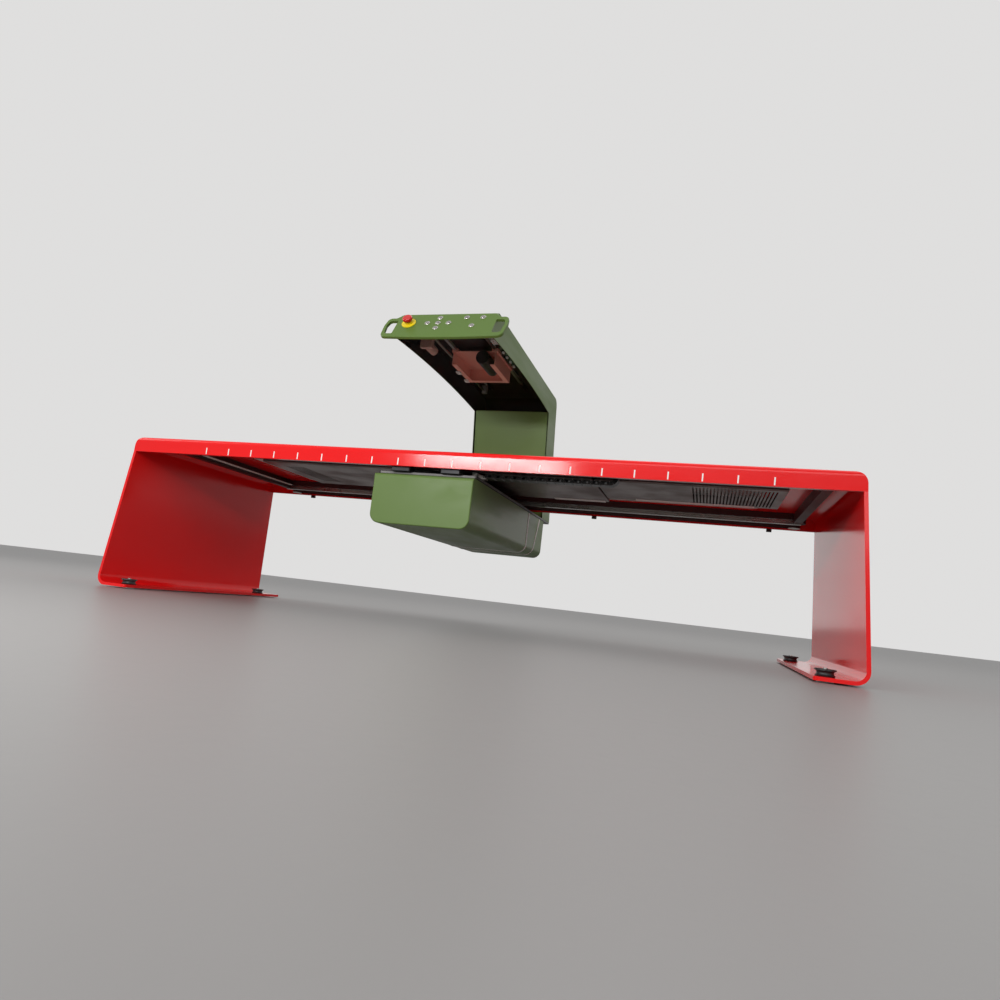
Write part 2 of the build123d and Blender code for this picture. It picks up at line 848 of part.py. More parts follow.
def build_cable_clips():
    """Three clips under the lower edge of the back apron."""
    places = (clip_left_inset - half_length, clip_middle, half_length - clip_right_inset)
    drop = clip_sink + clip_radius
    with BuildPart() as clips:
        for x in places:
            with BuildSketch(along(x)):
                with Locations((table_depth - plate / 2, apron_low)):
                    with Locations((0, -drop / 2)):
                        Rectangle(1.6 * clip_radius, drop)
                    with Locations((0, -drop)):
                        Circle(clip_radius)
                        Circle(clip_bore, mode=Mode.SUBTRACT)
            extrude(amount=clip_length / 2, both=True)
    save(clips, "cable_clips")


# Levelling feet


def build_levelling_feet():
    """Pads on the floor with the studs that stand in the feet."""
    with BuildPart() as feet:
        with BuildSketch(level(0)):
            with Locations(*foot_points()):
                Circle(pad_radius)
        extrude(amount=foot_lift)
        with BuildSketch(level(foot_lift)):
            with Locations(*foot_points()):
                Circle(stud_radius)
        extrude(amount=plate + slide_play + knob_height + stud_top)
    save(feet, "levelling_feet")


def build_knob(name, point):
    """Waisted hand knob with finger hollows, running on its stud."""
    low = foot_top + slide_play
    place = level(low, point[0], point[1])
    profile = Plane(origin=place.origin, x_dir=(1, 0, 0), z_dir=(0, -1, 0))
    bore = stud_radius + shaft_play
    with BuildPart() as knob:
        with BuildSketch(profile):
            with BuildLine():
                Line((bore, 0), (knob_radius - 4, 0))
                Line((knob_radius - 4, 0), (knob_radius - 2, 2.5))
                ThreePointArc(
                    (knob_radius - 2, 2.5),
                    (knob_radius - 2 - knob_waist, knob_height * 0.45),
                    (knob_radius, knob_height - 4),
                )
                Line((knob_radius, knob_height - 4), (knob_radius - 2, knob_height))
                ThreePointArc(
                    (knob_radius - 2, knob_height),
                    ((knob_radius + bore) / 2, knob_height - 1.5),
                    (bore, knob_height),
                )
                Line((bore, knob_height), (bore, 0))
            make_face()
        revolve(axis=Axis(place.origin, (0, 0, 1)))
        with BuildSketch(place):
            with PolarLocations(knob_radius + 4, knob_lobes):
                Circle(6.5)
        extrude(amount=knob_height, mode=Mode.SUBTRACT)
    save(knob, name)


# Carriage plate, bearing blocks and belt clamp


def carriage_level(z, x=0.0, depth=0.0):
    """Level plane whose x is counted from the scanner's middle."""
    return level(z, carriage_x + x, depth)


def build_carriage_plate():
    length = column_back - carriage_front
    with BuildPart() as base:
        with BuildSketch(carriage_level(carriage_low, 0, carriage_front + length / 2)):
            RectangleRounded(scanner_width, length, carriage_corner)
        extrude(amount=carriage_sheet)
        slot = beam_slot_back - beam_slot_front
        with BuildSketch(carriage_level(carriage_low, 0, beam_slot_front + slot / 2)):
            SlotOverall(slot, beam_slot_width, rotation=90)
        extrude(amount=carriage_sheet, mode=Mode.SUBTRACT)
        chamfer(base.faces().sort_by(Axis.Z)[-1].edges().filter_by(Axis.Y), 1)
    save(base, "carriage_plate")


def build_bearing_blocks():
    """Four blocks that hold the two rails from below and from both sides."""
    with BuildPart() as blocks:
        for depth in (front_rail_depth, rear_rail_depth):
            with BuildSketch(carriage_level(carriage_top, 0, depth)):
                with GridLocations(2 * block_offset, 0, 2, 1):
                    Rectangle(block_length, block_width)
            extrude(amount=block_height)
        chamfer(blocks.edges().filter_by(Axis.Z), 3)
        for depth in (front_rail_depth, rear_rail_depth):
            with BuildSketch(along(carriage_x)):
                add(rail_section(depth, slide_play))
            extrude(amount=half_scanner, both=True, mode=Mode.SUBTRACT)
    save(blocks, "bearing_blocks")


def build_belt_clamp():
    """Post on the carriage plate that grips the belt's front run from both sides."""
    run = belt_depth - pulley_radius - belt_thick / 2
    grip = belt_width + 2 * (clamp_spare + slide_play)
    with BuildPart() as clamp:
        with BuildSketch(carriage_level(carriage_top, 0, run)):
            Rectangle(*clamp_foot)
        extrude(amount=belt_low + belt_width + clamp_spare - carriage_top)
        with BuildSketch(along(carriage_x)):
            with Locations((run, belt_low + belt_width / 2 + clamp_spare)):
                Rectangle(belt_thick + 2 * slide_play, grip)
        extrude(amount=half_scanner, both=True, mode=Mode.SUBTRACT)
        corners = clamp.edges().filter_by(Axis.Z).filter_by(lambda e: e.length > belt_width + clamp_spare)
        chamfer(corners, clamp_chamfer)
    save(clamp, "belt_clamp")


# Source box


def box_section(inward=0.0):
    """Section of the box seen from the front, open at the top, shrunk by a wall."""
    with BuildSketch() as section:
        with Locations((carriage_x, (box_top + box_low + inward) / 2)):
            Rectangle(scanner_width - 2 * inward, box_height - inward)
        fillet(section.vertices().group_by(Axis.Y)[0], box_corner - inward)
    return section.sketch


def box_block(inward=0.0):
    """Solid with the outside shape of the whole box, shrunk by a wall on every side."""
    low = box_low + inward
    high = box_top - inward
    front = box_front + inward
    back = box_back - inward
    with BuildPart() as block:
        with BuildSketch(level(low, carriage_x, (front + back) / 2)):
            Rectangle(scanner_width - 2 * inward, back - front)
        extrude(amount=box_height)
        fillet(block.edges().filter_by(Axis.Y).group_by(Axis.Z)[0], box_corner - inward)
        rear = block.faces().sort_by(Axis.Y)[-1].edges().filter_by(lambda e: e.center().Z < high)
        fillet(rear, box_back_bend - inward)
        rim = block.faces().sort_by(Axis.Y)[0].edges().filter_by(lambda e: e.center().Z < high)
        fillet(rim, box_edge - inward)
        with BuildSketch(along(carriage_x)) as side:
            with Locations(((front + back) / 2, (low + high) / 2)):
                Rectangle(back - front, high - low)
            upper = side.vertices().group_by(Axis.Y)[-1].sort_by(Axis.X)[0]
            fillet(upper, box_front_bend - inward)
        extrude(amount=scanner_width, both=True, mode=Mode.INTERSECT)
    return block.part


def box_shell():
    """Whole box in one shell, open at the top behind the lip of its front wall."""
    with BuildPart() as shell:
        add(box_block())
        add(box_block(box_sheet), mode=Mode.SUBTRACT)
        long = box_back - box_sheet - box_front - box_lip
        with BuildSketch(level(box_top, carriage_x, box_front + box_lip + long / 2)) as opening:
            Rectangle(scanner_width - 2 * box_sheet, long)
            fillet(opening.vertices().group_by(Axis.Y)[-1], box_back_bend - box_sheet)
        extrude(amount=-2 * box_sheet, mode=Mode.SUBTRACT)
    return shell.part


def tail_line(height, shift=0.0):
    """Depth of the leaning rear seam at a height."""
    share = (height - box_low) / box_height
    inset = tail_seam_bottom + share * (tail_seam_top - tail_seam_bottom)
    return box_back - inset + shift


def slab(front, back):
    """Thick slice across the box between two lines, each a pair of depths, low and high."""
    low = box_low - 20
    high = box_top + 20
    with BuildPart() as slice_part:
        with BuildSketch(along(carriage_x)):
            with BuildLine():
                Polyline(
                    (front[0], low), (front[1], high), (back[1], high), (back[0], low), close=True
                )
            make_face()
        extrude(amount=scanner_width, both=True)
    return slice_part.part


def upright(depth):
    return (depth, depth)


def leaning(shift):
    return (tail_line(box_low - 20, shift), tail_line(box_top + 20, shift))


def build_box_covers():
    shell = box_shell()
    half = seam_gap / 2
    covers = {
        "source_cover": slab(upright(box_front - 20), upright(seam_depth - half)),
        "middle_cover": slab(upright(seam_depth + half), leaning(-half)),
        "tail_cover": slab(leaning(half), upright(box_back + 20)),
    }
    for name, piece in covers.items():
        with BuildPart() as cover:
            add(shell)
            add(piece, mode=Mode.INTERSECT)
        save(cover, name)


def seam_strip(wide, narrow):
    """Strip inside a seam: a wide band behind both covers and a rib that fills the gap."""
    long = box_back - seam_depth + 40
    with BuildPart() as band:
        with BuildSketch(across(box_back)):
            add(box_section(box_sheet))
            add(box_section(box_sheet + strip_sheet), mode=Mode.SUBTRACT)
        extrude(amount=long)
        add(wide, mode=Mode.INTERSECT)
    with BuildPart() as rib:
        with BuildSketch(across(box_back)):
            add(box_section(0.5))
            add(box_section(box_sheet), mode=Mode.SUBTRACT)
        extrude(amount=long)
        add(narrow, mode=Mode.INTERSECT)
    with BuildPart() as strip:
        add(band.part)
        add(rib.part)
    return strip.part


def build_seam_strips():
    half = seam_gap / 2
    lap = half + seam_lap
    rib = half - slide_play
    with BuildPart() as strips:
        add(seam_strip(
            slab(upright(seam_depth - lap), upright(seam_depth + lap)),
            slab(upright(seam_depth - rib), upright(seam_depth + rib)),
        ))
        add(seam_strip(slab(leaning(-lap), leaning(lap)), slab(leaning(-rib), leaning(rib))))
    save(strips, "seam_strips")


def build_rim_seal():
    front = carriage_front + 2 * seal_inset
    long = box_back - 2 * seal_inset - front
    wide = scanner_width - 2 * seal_inset
    corner = box_back_bend - seal_inset
    with BuildPart() as seal:
        with BuildSketch(carriage_level(box_top, 0, front + long / 2)):
            RectangleRounded(wide, long, corner)
            RectangleRounded(
                wide - 2 * seal_width, long - 2 * seal_width, corner - seal_width,
                mode=Mode.SUBTRACT,
            )
        extrude(amount=seal_height)
    save(seal, "rim_seal")


# Upper arm and column


def arm_front(height):
    """Depth of the back of the control plate at a height, where the arm is cut off."""
    top = plate_top + plate_thick * sin(radians(plate_angle))
    from_height = plate_top_height - plate_thick * cos(radians(plate_angle))
    return top + (height - from_height) / tan(radians(plate_angle))


def column_line(height, inward=0.0):
    """Depth of the column's front at a height, moved into the column."""
    run = column_front - elbow_inner
    rise = arm_underside - carriage_top
    lean = atan2(run, rise)
    return elbow_inner + (arm_underside - height) * run / rise + inward / cos(lean)


def back_line(height, inward=0.0):
    """Depth of the column's back at a height, moved into the column."""
    run = column_back - elbow_outer
    rise = arm_top - carriage_top
    lean = atan2(run, rise)
    return elbow_outer + (arm_top - height) * run / rise - inward / cos(lean)


def build_arm_shell():
    """Column and upper arm in one shell, open to the front and on the inside of the C."""
    front_low = arm_front(arm_underside)
    middle = (front_low + elbow_inner) / 2
    beyond = -2 * arm_depth
    clear = arm_depth / 2
    base = carriage_top + column_base
    with BuildPart() as arm:
        with BuildSketch(along(carriage_x)) as outline:
            with BuildLine():
                Polyline(
                    (front_low, arm_underside),
                    (arm_front(arm_top), arm_top),
                    (elbow_outer, arm_top),
                    (column_back, carriage_top),
                    (column_front, carriage_top),
                    (elbow_inner, arm_underside),
                )
                ThreePointArc(
                    (elbow_inner, arm_underside),
                    (middle, arm_underside + arm_arch),
                    (front_low, arm_underside),
                )
            make_face()
            elbow = outline.vertices().group_by(Axis.Y)[-1].sort_by(Axis.X)[-1]
            fillet(elbow, elbow_bend)
        extrude(amount=half_scanner, both=True)
        turned = y_front + elbow_outer + elbow_bend / 2
        bends = arm.edges().filter_by(
            lambda e: abs(abs(e.center().X - carriage_x) - half_scanner) < 0.01
            and (e.center().Z > arm_top - elbow_bend or e.center().Y > turned)
            and e.center().Z > carriage_top + 1
        )
        fillet(bends, arm_edge)
        with BuildSketch(along(carriage_x)) as room:
            with BuildLine():
                Polyline(
                    (beyond, arm_ceiling),
                    (back_line(arm_ceiling, arm_sheet), arm_ceiling),
                    (back_line(base, arm_sheet), base),
                    (column_front - clear, base),
                    (elbow_inner - clear, arm_underside - clear),
                    (beyond, arm_underside - clear),
                    close=True,
                )
            make_face()
            elbow = room.vertices().group_by(Axis.Y)[-1].sort_by(Axis.X)[-1]
            fillet(elbow, elbow_bend - arm_sheet)
        extrude(amount=half_scanner - arm_sheet, both=True, mode=Mode.SUBTRACT)
        with BuildSketch(
            carriage_level(carriage_top, cable_slot_x, column_back - column_thick / 2)
        ):
            SlotOverall(*cable_slot)
        extrude(amount=column_base, mode=Mode.SUBTRACT)
    save(arm, "arm_shell")


def build_column_panel():
    """Front panel of the column with its side edges folded in, set in between the cheeks."""
    low = carriage_top + column_base
    high = arm_underside + cover_inset + cover_sheet + 1
    half = half_scanner - arm_sheet - panel_side_gap
    outside = panel_inset
    inside = panel_inset + panel_sheet
    fold = panel_inset + panel_return
    under = low - panel_inset
    over = high + panel_inset
    with BuildPart() as panel:
        with BuildSketch(along(carriage_x)):
            with BuildLine():
                Polyline(
                    (column_line(low, outside), low),
                    (column_line(high, outside), high),
                    (column_line(high, fold), high),
                    (column_line(low, fold), low),
                    close=True,
                )
            make_face()
        extrude(amount=half, both=True)
        with BuildSketch(along(carriage_x)):
            with BuildLine():
                Polyline(
                    (column_line(under, inside), under),
                    (column_line(over, inside), over),
                    (column_line(over, fold + panel_sheet), over),
                    (column_line(under, fold + panel_sheet), under),
                    close=True,
                )
            make_face()
        extrude(amount=half - panel_sheet, both=True, mode=Mode.SUBTRACT)
    save(panel, "column_panel")


def build_arm_cover():
    """See-through cover that closes the underside of the arm between its cheeks."""
    start = arm_front(arm_underside) + panel_side_gap
    end = elbow_inner
    low = arm_underside + cover_inset
    high = low + cover_sheet
    middle = (start + end) / 2
    with BuildPart() as cover:
        with BuildSketch(along(carriage_x)):
            with BuildLine():
                ThreePointArc((start, low), (middle, low + arm_arch), (end, low))
                Line((end, low), (end, high))
                ThreePointArc((end, high), (middle, high + arm_arch), (start, high))
                Line((start, high), (start, low))
            make_face()
        extrude(amount=half_scanner - arm_sheet, both=True)
    save(cover, "arm_cover")


# Control plate


def rounded_at(outline, points, radius):
    """Round the corners of an outline that lie at these points."""
    turns = outline.vertices().filter_by(
        lambda v: any((Vector(*point) - Vector(v.X, v.Y)).length < 0.01 for point in points)
    )
    fillet(turns, radius)


def control_outline():
    """Outline of the plate on its own plane, with an ear at each side for a hand."""
    ear_end = handle_half - ear_taper
    right = [
        (plate_half, 0),
        (plate_half + ear_shoulder, -ear_shoulder),
        (ear_end, -ear_shoulder),
        (handle_half, -ear_drop),
        (ear_end, plate_bow - plate_length),
    ]
    left = [(-x, y) for x, y in reversed(right)]
    bends = (ear_root_bend, ear_top_bend, ear_side_bend, ear_low_bend)
    with BuildSketch() as outline:
        with BuildLine():
            Polyline(*left, *right)
            ThreePointArc(right[-1], (0, -plate_length), left[0])
        make_face()
        for (x, y), bend in zip(right[1:], bends):
            rounded_at(outline, ((x, y), (-x, y)), bend)
    return outline.sketch


def handle_hole():
    """Hole for the fingers in the right ear, with a bar round it."""
    widest = handle_half - handle_bar
    end = widest - ear_taper
    inner = widest - hole_width
    high = -ear_shoulder - handle_bar_end
    low = handle_bar_end + plate_bow - plate_length
    with BuildSketch() as hole:
        with BuildLine():
            Polyline(
                (inner, low),
                (end, low),
                (widest, -ear_drop),
                (end, high),
                (inner, high),
                close=True,
            )
        make_face()
        rounded_at(hole, ((inner, low), (inner, high)), hole_corner)
        rounded_at(hole, ((end, low), (end, high)), hole_bend)
    return hole.sketch


def build_control_panel():
    with BuildPart() as panel:
        with BuildSketch(plate_face):
            add(control_outline())
        extrude(amount=-plate_thick)
        front = panel.faces().sort_by(lambda f: f.center().dot(outward))[-1]
        fillet(front.edges(), plate_edge)
        with BuildSketch(plate_face):
            add(handle_hole())
            mirror(about=Plane.YZ)
        extrude(amount=-plate_thick, mode=Mode.SUBTRACT)
        with BuildSketch(plate_face):
            with Locations(*buttons.values()):
                Circle(button_barrel + shaft_play)
            with Locations((estop_x, estop_y)):
                Circle(estop_barrel + shaft_play)
        extrude(amount=-plate_thick, mode=Mode.SUBTRACT)
    save(panel, "control_panel")


def build_button_bezels():
    """Round rims of the push buttons, each in one piece with its barrel."""
    with BuildPart() as bezels:
        with BuildSketch(plate_face):
            with Locations(*buttons.values()):
                Circle(button_bezel)
        extrude(amount=button_bezel_high)
        fronts = bezels.faces().sort_by(lambda f: f.center().dot(outward))[-len(buttons):]
        chamfer(fronts.edges(), button_edge)
        with BuildSketch(plate_face):
            with Locations(*buttons.values()):
                Circle(button_barrel)
        extrude(amount=-button_barrel_long)
        with BuildSketch(plate_face.offset(button_bezel_high)):
            with Locations(*buttons.values()):
                Circle(button_radius + shaft_play)
        depth = button_barrel_long + button_bezel_high - barrel_floor
        extrude(amount=-depth, mode=Mode.SUBTRACT)
    save(bezels, "button_bezels")


def build_button(name, point):
    """Metal push button sliding in its barrel."""
    high = button_bezel_high + button_proud
    stem = button_barrel_long - barrel_floor - button_travel - 2 * slide_play
    with BuildPart() as button:
        with BuildSketch(plate_face.offset(-stem)):
            with Locations(point):
                Circle(button_radius)
        extrude(amount=stem + high)
        fillet(button.faces().sort_by(lambda f: f.center().dot(outward))[-1].edges(), button_edge)
    save(button, name)


def build_estop_base():
    """Yellow disc, collar and barrel of the emergency stop."""
    with BuildPart() as base:
        with BuildSketch(plate_face):
            with Locations((estop_x, estop_y)):
                Circle(estop_disc)
        extrude(amount=estop_disc_high)
        with BuildSketch(plate_face.offset(estop_disc_high)):
            with Locations((estop_x, estop_y)):
                Circle(estop_collar_radius)
        extrude(amount=estop_collar_high)
        with BuildSketch(plate_face):
            with Locations((estop_x, estop_y)):
                Circle(estop_barrel)
        extrude(amount=-button_barrel_long)
        with BuildSketch(plate_face.offset(estop_disc_high + estop_collar_high)):
            with Locations((estop_x, estop_y)):
                Circle(estop_stem + shaft_play)
        depth = estop_disc_high + estop_collar_high + button_barrel_long - barrel_floor
        extrude(amount=-depth, mode=Mode.SUBTRACT)
    save(base, "estop_base")


def build_estop_button():
    """Mushroom shaped button on its stem."""
    collar = estop_disc_high + estop_collar_high
    cap = collar + estop_travel + estop_gap
    stem = button_barrel_long - barrel_floor - estop_travel - 2 * slide_play
    with BuildPart() as button:
        with BuildSketch(plate_face.offset(-stem)):
            with Locations((estop_x, estop_y)):
                Circle(estop_stem)
        extrude(amount=stem + cap)
        with BuildSketch(plate_face.offset(cap)):
            with Locations((estop_x, estop_y)):
                Circle(estop_cap)
        extrude(amount=estop_cap_high)
        crown = button.faces().sort_by(lambda f: f.center().dot(outward))[-1]
        fillet(crown.edges(), estop_crown)
        lower = button.edges().filter_by(GeomType.CIRCLE).filter_by(
            lambda e: abs(e.radius - estop_cap) < 0.01
        )
        fillet(lower.sort_by(lambda e: e.center().dot(outward))[0], estop_brim)
    save(button, "estop_button")


# Scan slides


def hung_rail(play=0.0):
    """Section of the small waisted rails, hanging from the origin of the sketch."""
    half = scan_rail_width / 2
    waist = half - scan_rail_waist
    high = scan_rail_height
    with BuildSketch() as section:
        with BuildLine():
            Polyline(
                (-half, 0),
                (-half, -high * 0.3),
                (-waist, -high * 0.42),
                (-waist, -high * 0.62),
                (-half, -high * 0.74),
                (-half, -high),
                (half, -high),
                (half, -high * 0.74),
                (waist, -high * 0.62),
                (waist, -high * 0.42),
                (half, -high * 0.3),
                (half, 0),
                close=True,
            )
        make_face()
        if play:
            offset(amount=play, kind=Kind.INTERSECTION, mode=Mode.REPLACE)
    return section.sketch


def build_scan_rails():
    """Two rails under the carriage plate and two under the arm's top."""
    places = (
        (carriage_low, 0, scan_rail_offset, scan_rail_front),
        (arm_ceiling, detector_x, detector_rail_offset, scan_rail_front + detector_rail_shift),
    )
    with BuildPart() as rails:
        for top, middle, spread, front in places:
            with BuildSketch(across(front + scan_rail_long)):
                with Locations(*[(carriage_x + middle + s * spread, top) for s in (-1, 1)]):
                    add(hung_rail())
            extrude(amount=scan_rail_long)
    save(rails, "scan_rails")


def build_scan_screw(name, x, z, front, back):
    """Drive screw with a plain end in its bearing and in its motor."""
    with BuildPart() as screw:
        with BuildSketch(across(back)):
            with Locations((carriage_x + x, z)):
                Circle(screw_radius)
        extrude(amount=back - front)
        chamfer(screw.faces().filter_by(Axis.Y).edges(), 1)
    save(screw, name)


def bearing_block(x, z, top, front):
    """Block that holds the free end of a drive screw, hanging from a plate."""
    width = 2 * (screw_radius + nut_wall)
    with BuildPart() as block:
        with BuildSketch(across(front + bearing_thick)):
            with Locations((carriage_x + x, (top + z - width / 2) / 2)):
                Rectangle(width, top - z + width / 2)
        extrude(amount=bearing_thick)
        with BuildSketch(across(front + bearing_thick)):
            with Locations((carriage_x + x, z)):
                Circle(screw_radius + shaft_play)
        extrude(amount=bearing_thick, mode=Mode.SUBTRACT)
    return block.part


def build_screw_bearings():
    with BuildPart() as blocks:
        add(bearing_block(source_screw_x, source_screw_z, carriage_low, source_bearing))
        add(bearing_block(detector_screw_x, detector_screw_z, arm_ceiling, detector_bearing))
    save(blocks, "screw_bearings")


def build_source_motor():
    """Square motor under the carriage plate, in one piece with its mounting foot."""
    x = source_screw_x
    z = source_screw_z
    top = carriage_low
    front = source_motor_front
    with BuildPart() as motor:
        with BuildSketch(across(front + motor_long)):
            with Locations((carriage_x + x, z)):
                RectangleRounded(motor_size, motor_size, 5)
        extrude(amount=motor_long)
        with BuildSketch(carriage_level(top, x, front + motor_long / 2)):
            Rectangle(motor_size - 10, motor_long)
        extrude(amount=z + motor_size / 2 - 1 - top)
        with BuildSketch(across(front + motor_seat)):
            with Locations((carriage_x + x, z)):
                Circle(screw_radius + shaft_play)
        extrude(amount=motor_seat, mode=Mode.SUBTRACT)
    save(motor, "source_motor")


def build_detector_drive():
    """Round motor beside the drive screw, with the gear housing that joins both."""
    motor_x = detector_screw_x - detector_gear_spread
    left = motor_x - detector_motor_radius - gear_wall
    right = detector_screw_x + screw_radius + 2 * gear_wall
    low = detector_motor_z - detector_motor_radius - gear_wall
    with BuildPart() as drive:
        with BuildSketch(across(detector_motor_front)):
            with Locations((carriage_x + (left + right) / 2, (low + arm_ceiling) / 2)):
                Rectangle(right - left, arm_ceiling - low)
        extrude(amount=motor_seat)
        with BuildSketch(across(detector_motor_front + detector_motor_long)):
            with Locations((carriage_x + motor_x, detector_motor_z)):
                Circle(detector_motor_radius)
        extrude(amount=detector_motor_long)
        with BuildSketch(across(detector_motor_front)):
            with Locations((carriage_x + detector_screw_x, detector_screw_z)):
                Circle(screw_radius + shaft_play)
        extrude(amount=motor_seat - motor_wall, mode=Mode.SUBTRACT)
    save(drive, "detector_drive")


def rail_lugs(top, low, middle, spread, half_depth):
    """Four lugs that hold the rails from both sides, standing on a slide's plate."""
    with BuildPart() as lugs:
        with BuildSketch(carriage_level(low, middle, scan_rest)):
            with GridLocations(2 * spread, 2 * half_depth - lug_length, 2, 2):
                Rectangle(lug_width, lug_length)
        extrude(amount=top - lug_gap - low)
        with BuildSketch(across(scan_rest + half_depth + 1)):
            with Locations(*[(carriage_x + middle + s * spread, top) for s in (-1, 1)]):
                add(hung_rail(slide_play))
        extrude(amount=2 * half_depth + 2, mode=Mode.SUBTRACT)
    return lugs.part


def build_source_slide():
    """Plate that carries the tank along the source rails, with the nut of its screw."""
    high = slide_top
    low = high - slide_sheet
    width = 2 * (screw_radius + nut_wall)
    with BuildPart() as slide:
        with BuildSketch(carriage_level(low, 0, scan_rest)):
            RectangleRounded(2 * slide_half_width, 2 * slide_half_depth, 5)
            Circle(port_radius, mode=Mode.SUBTRACT)
        extrude(amount=slide_sheet)
        add(rail_lugs(carriage_low, high, 0, scan_rail_offset, slide_half_depth))
        nut_low = source_screw_z - width / 2
        with BuildSketch(carriage_level(nut_low, source_screw_x, scan_rest)):
            Rectangle(width, nut_length)
        extrude(amount=low - nut_low)
        with BuildSketch(across(scan_rest + nut_length / 2)):
            with Locations((carriage_x + source_screw_x, source_screw_z)):
                Circle(screw_radius + shaft_play)
        extrude(amount=nut_length, mode=Mode.SUBTRACT)
    save(slide, "source_slide")


def build_xray_tank():
    """Sealed tank with its tube inside and the round port on top."""
    length, width, height = tube_size
    top = slide_top - slide_sheet
    with BuildPart() as tank:
        with BuildSketch(carriage_level(top, 0, scan_rest)):
            RectangleRounded(length, width, tube_round)
        extrude(amount=-height)
        fillet(tank.faces().sort_by(Axis.Z)[0].edges(), 8)
        with BuildSketch(carriage_level(top, 0, scan_rest)):
            Circle(port_radius - slide_play)
        extrude(amount=slide_sheet)
    save(tank, "xray_tank")


def build_collimator():
    length, width, height = collimator_size
    with BuildPart() as block:
        with BuildSketch(carriage_level(slide_top, 0, scan_rest)):
            RectangleRounded(length, width, 3)
            SlotOverall(width * 0.6, slit_width, rotation=90, mode=Mode.SUBTRACT)
        extrude(amount=height)
        chamfer(block.faces().sort_by(Axis.Z)[-1].outer_wire().edges(), 1)
    save(block, "collimator")


def detector_saddle(back):
    """Block under the ceiling of the detector's box that its tube is screwed to."""
    with BuildPart() as saddle:
        with BuildSketch(across(back)):
            with Locations((carriage_x + detector_tube_x, (detector_ceiling + detector_tube_z) / 2)):
                Rectangle(saddle_width, detector_ceiling - detector_tube_z)
            with Locations((carriage_x + detector_tube_x, detector_tube_z)):
                Circle(detector_radius, mode=Mode.SUBTRACT)
        extrude(amount=saddle_long)
    return saddle.part


def detector_nut():
    """Arm from the detector's box to the nut that runs on the drive screw."""
    width = 2 * (screw_radius + detector_nut_wall)
    low = detector_screw_z - width / 2
    reach = detector_x - detector_screw_x - detector_rail_offset
    middle = scan_rest + nut_shift
    with BuildPart() as nut:
        with BuildSketch(carriage_level(detector_ceiling, detector_screw_x, middle)):
            with Locations(((reach - width / 2) / 2, 0)):
                Rectangle(reach + width / 2, nut_length)
        extrude(amount=detector_sheet)
        with BuildSketch(carriage_level(low, detector_screw_x, middle)):
            Rectangle(width, nut_length)
        extrude(amount=detector_ceiling - low)
        with BuildSketch(across(middle + nut_length / 2)):
            with Locations((carriage_x + detector_screw_x, detector_screw_z)):
                Circle(screw_radius + shaft_play)
        extrude(amount=nut_length, mode=Mode.SUBTRACT)
    return nut.part


def build_detector_bracket():
    """Aluminium box, open at the front and below, that hangs from the arm's rails."""
    half = detector_half_width
    deep = detector_half_depth
    spread = detector_rail_offset
    back = scan_rest + detector_tube_long / 2 - saddle_inset
    with BuildPart() as bracket:
        with BuildSketch(carriage_level(detector_ceiling, detector_x, scan_rest)):
            Rectangle(2 * spread + lug_width, 2 * deep)
        extrude(amount=detector_sheet)
        with BuildSketch(carriage_level(detector_floor, detector_x, scan_rest)):
            Rectangle(2 * half, 2 * deep)
            with Locations((0, -detector_sheet)):
                Rectangle(2 * (half - detector_sheet), 2 * deep, mode=Mode.SUBTRACT)
        extrude(amount=detector_ceiling - detector_floor)
        with BuildSketch(carriage_level(detector_floor, detector_x, scan_rest)):
            Rectangle(2 * half, 2 * deep)
            with Locations((0, -detector_flange)):
                Rectangle(2 * (half - detector_flange), 2 * deep, mode=Mode.SUBTRACT)
        extrude(amount=detector_sheet)
        add(rail_lugs(arm_ceiling, detector_ceiling + detector_sheet, detector_x, spread, deep))
        add(detector_nut())
        add(detector_saddle(back))
        add(detector_saddle(back - detector_tube_long + saddle_spread))
    save(bracket, "detector_bracket")


def build_detector_tube():
    """Black detector housing with a cable neck at its back."""
    back = scan_rest + detector_tube_long / 2 - tube_overhang
    with BuildPart() as tube:
        with BuildSketch(across(back)):
            with Locations((carriage_x + detector_tube_x, detector_tube_z)):
                Circle(detector_radius)
        extrude(amount=detector_tube_long)
        chamfer(tube.faces().filter_by(Axis.Y).edges(), tube_chamfer)
        with BuildSketch(across(back + tube_neck_long)):
            with Locations((carriage_x + detector_tube_x, detector_tube_z)):
                Circle(tube_neck)
        extrude(amount=tube_neck_long)
    save(tube, "detector_tube")


def build_detector_board():
    """Board with a row of plugs, on posts under the arm's top."""
    length, depth, thick = board_strip
    low = arm_ceiling - board_strip_drop
    middle = board_strip_front + depth / 2
    plugs = int((depth - 2 * plug_end_gap) / plug_pitch)
    with BuildPart() as board:
        with BuildSketch(carriage_level(low, board_strip_x, middle)):
            Rectangle(length, depth)
        extrude(amount=thick)
        with BuildSketch(carriage_level(low, board_strip_x, middle)):
            with GridLocations(0, depth - 4 * board_strip_post, 1, 2):
                Circle(board_strip_post)
        extrude(amount=board_strip_drop)
        with BuildSketch(carriage_level(low, board_strip_x, middle)):
            with GridLocations(0, plug_pitch, 1, plugs):
                Rectangle(*plug_face)
        extrude(amount=-plug_high)
    save(board, "detector_board")


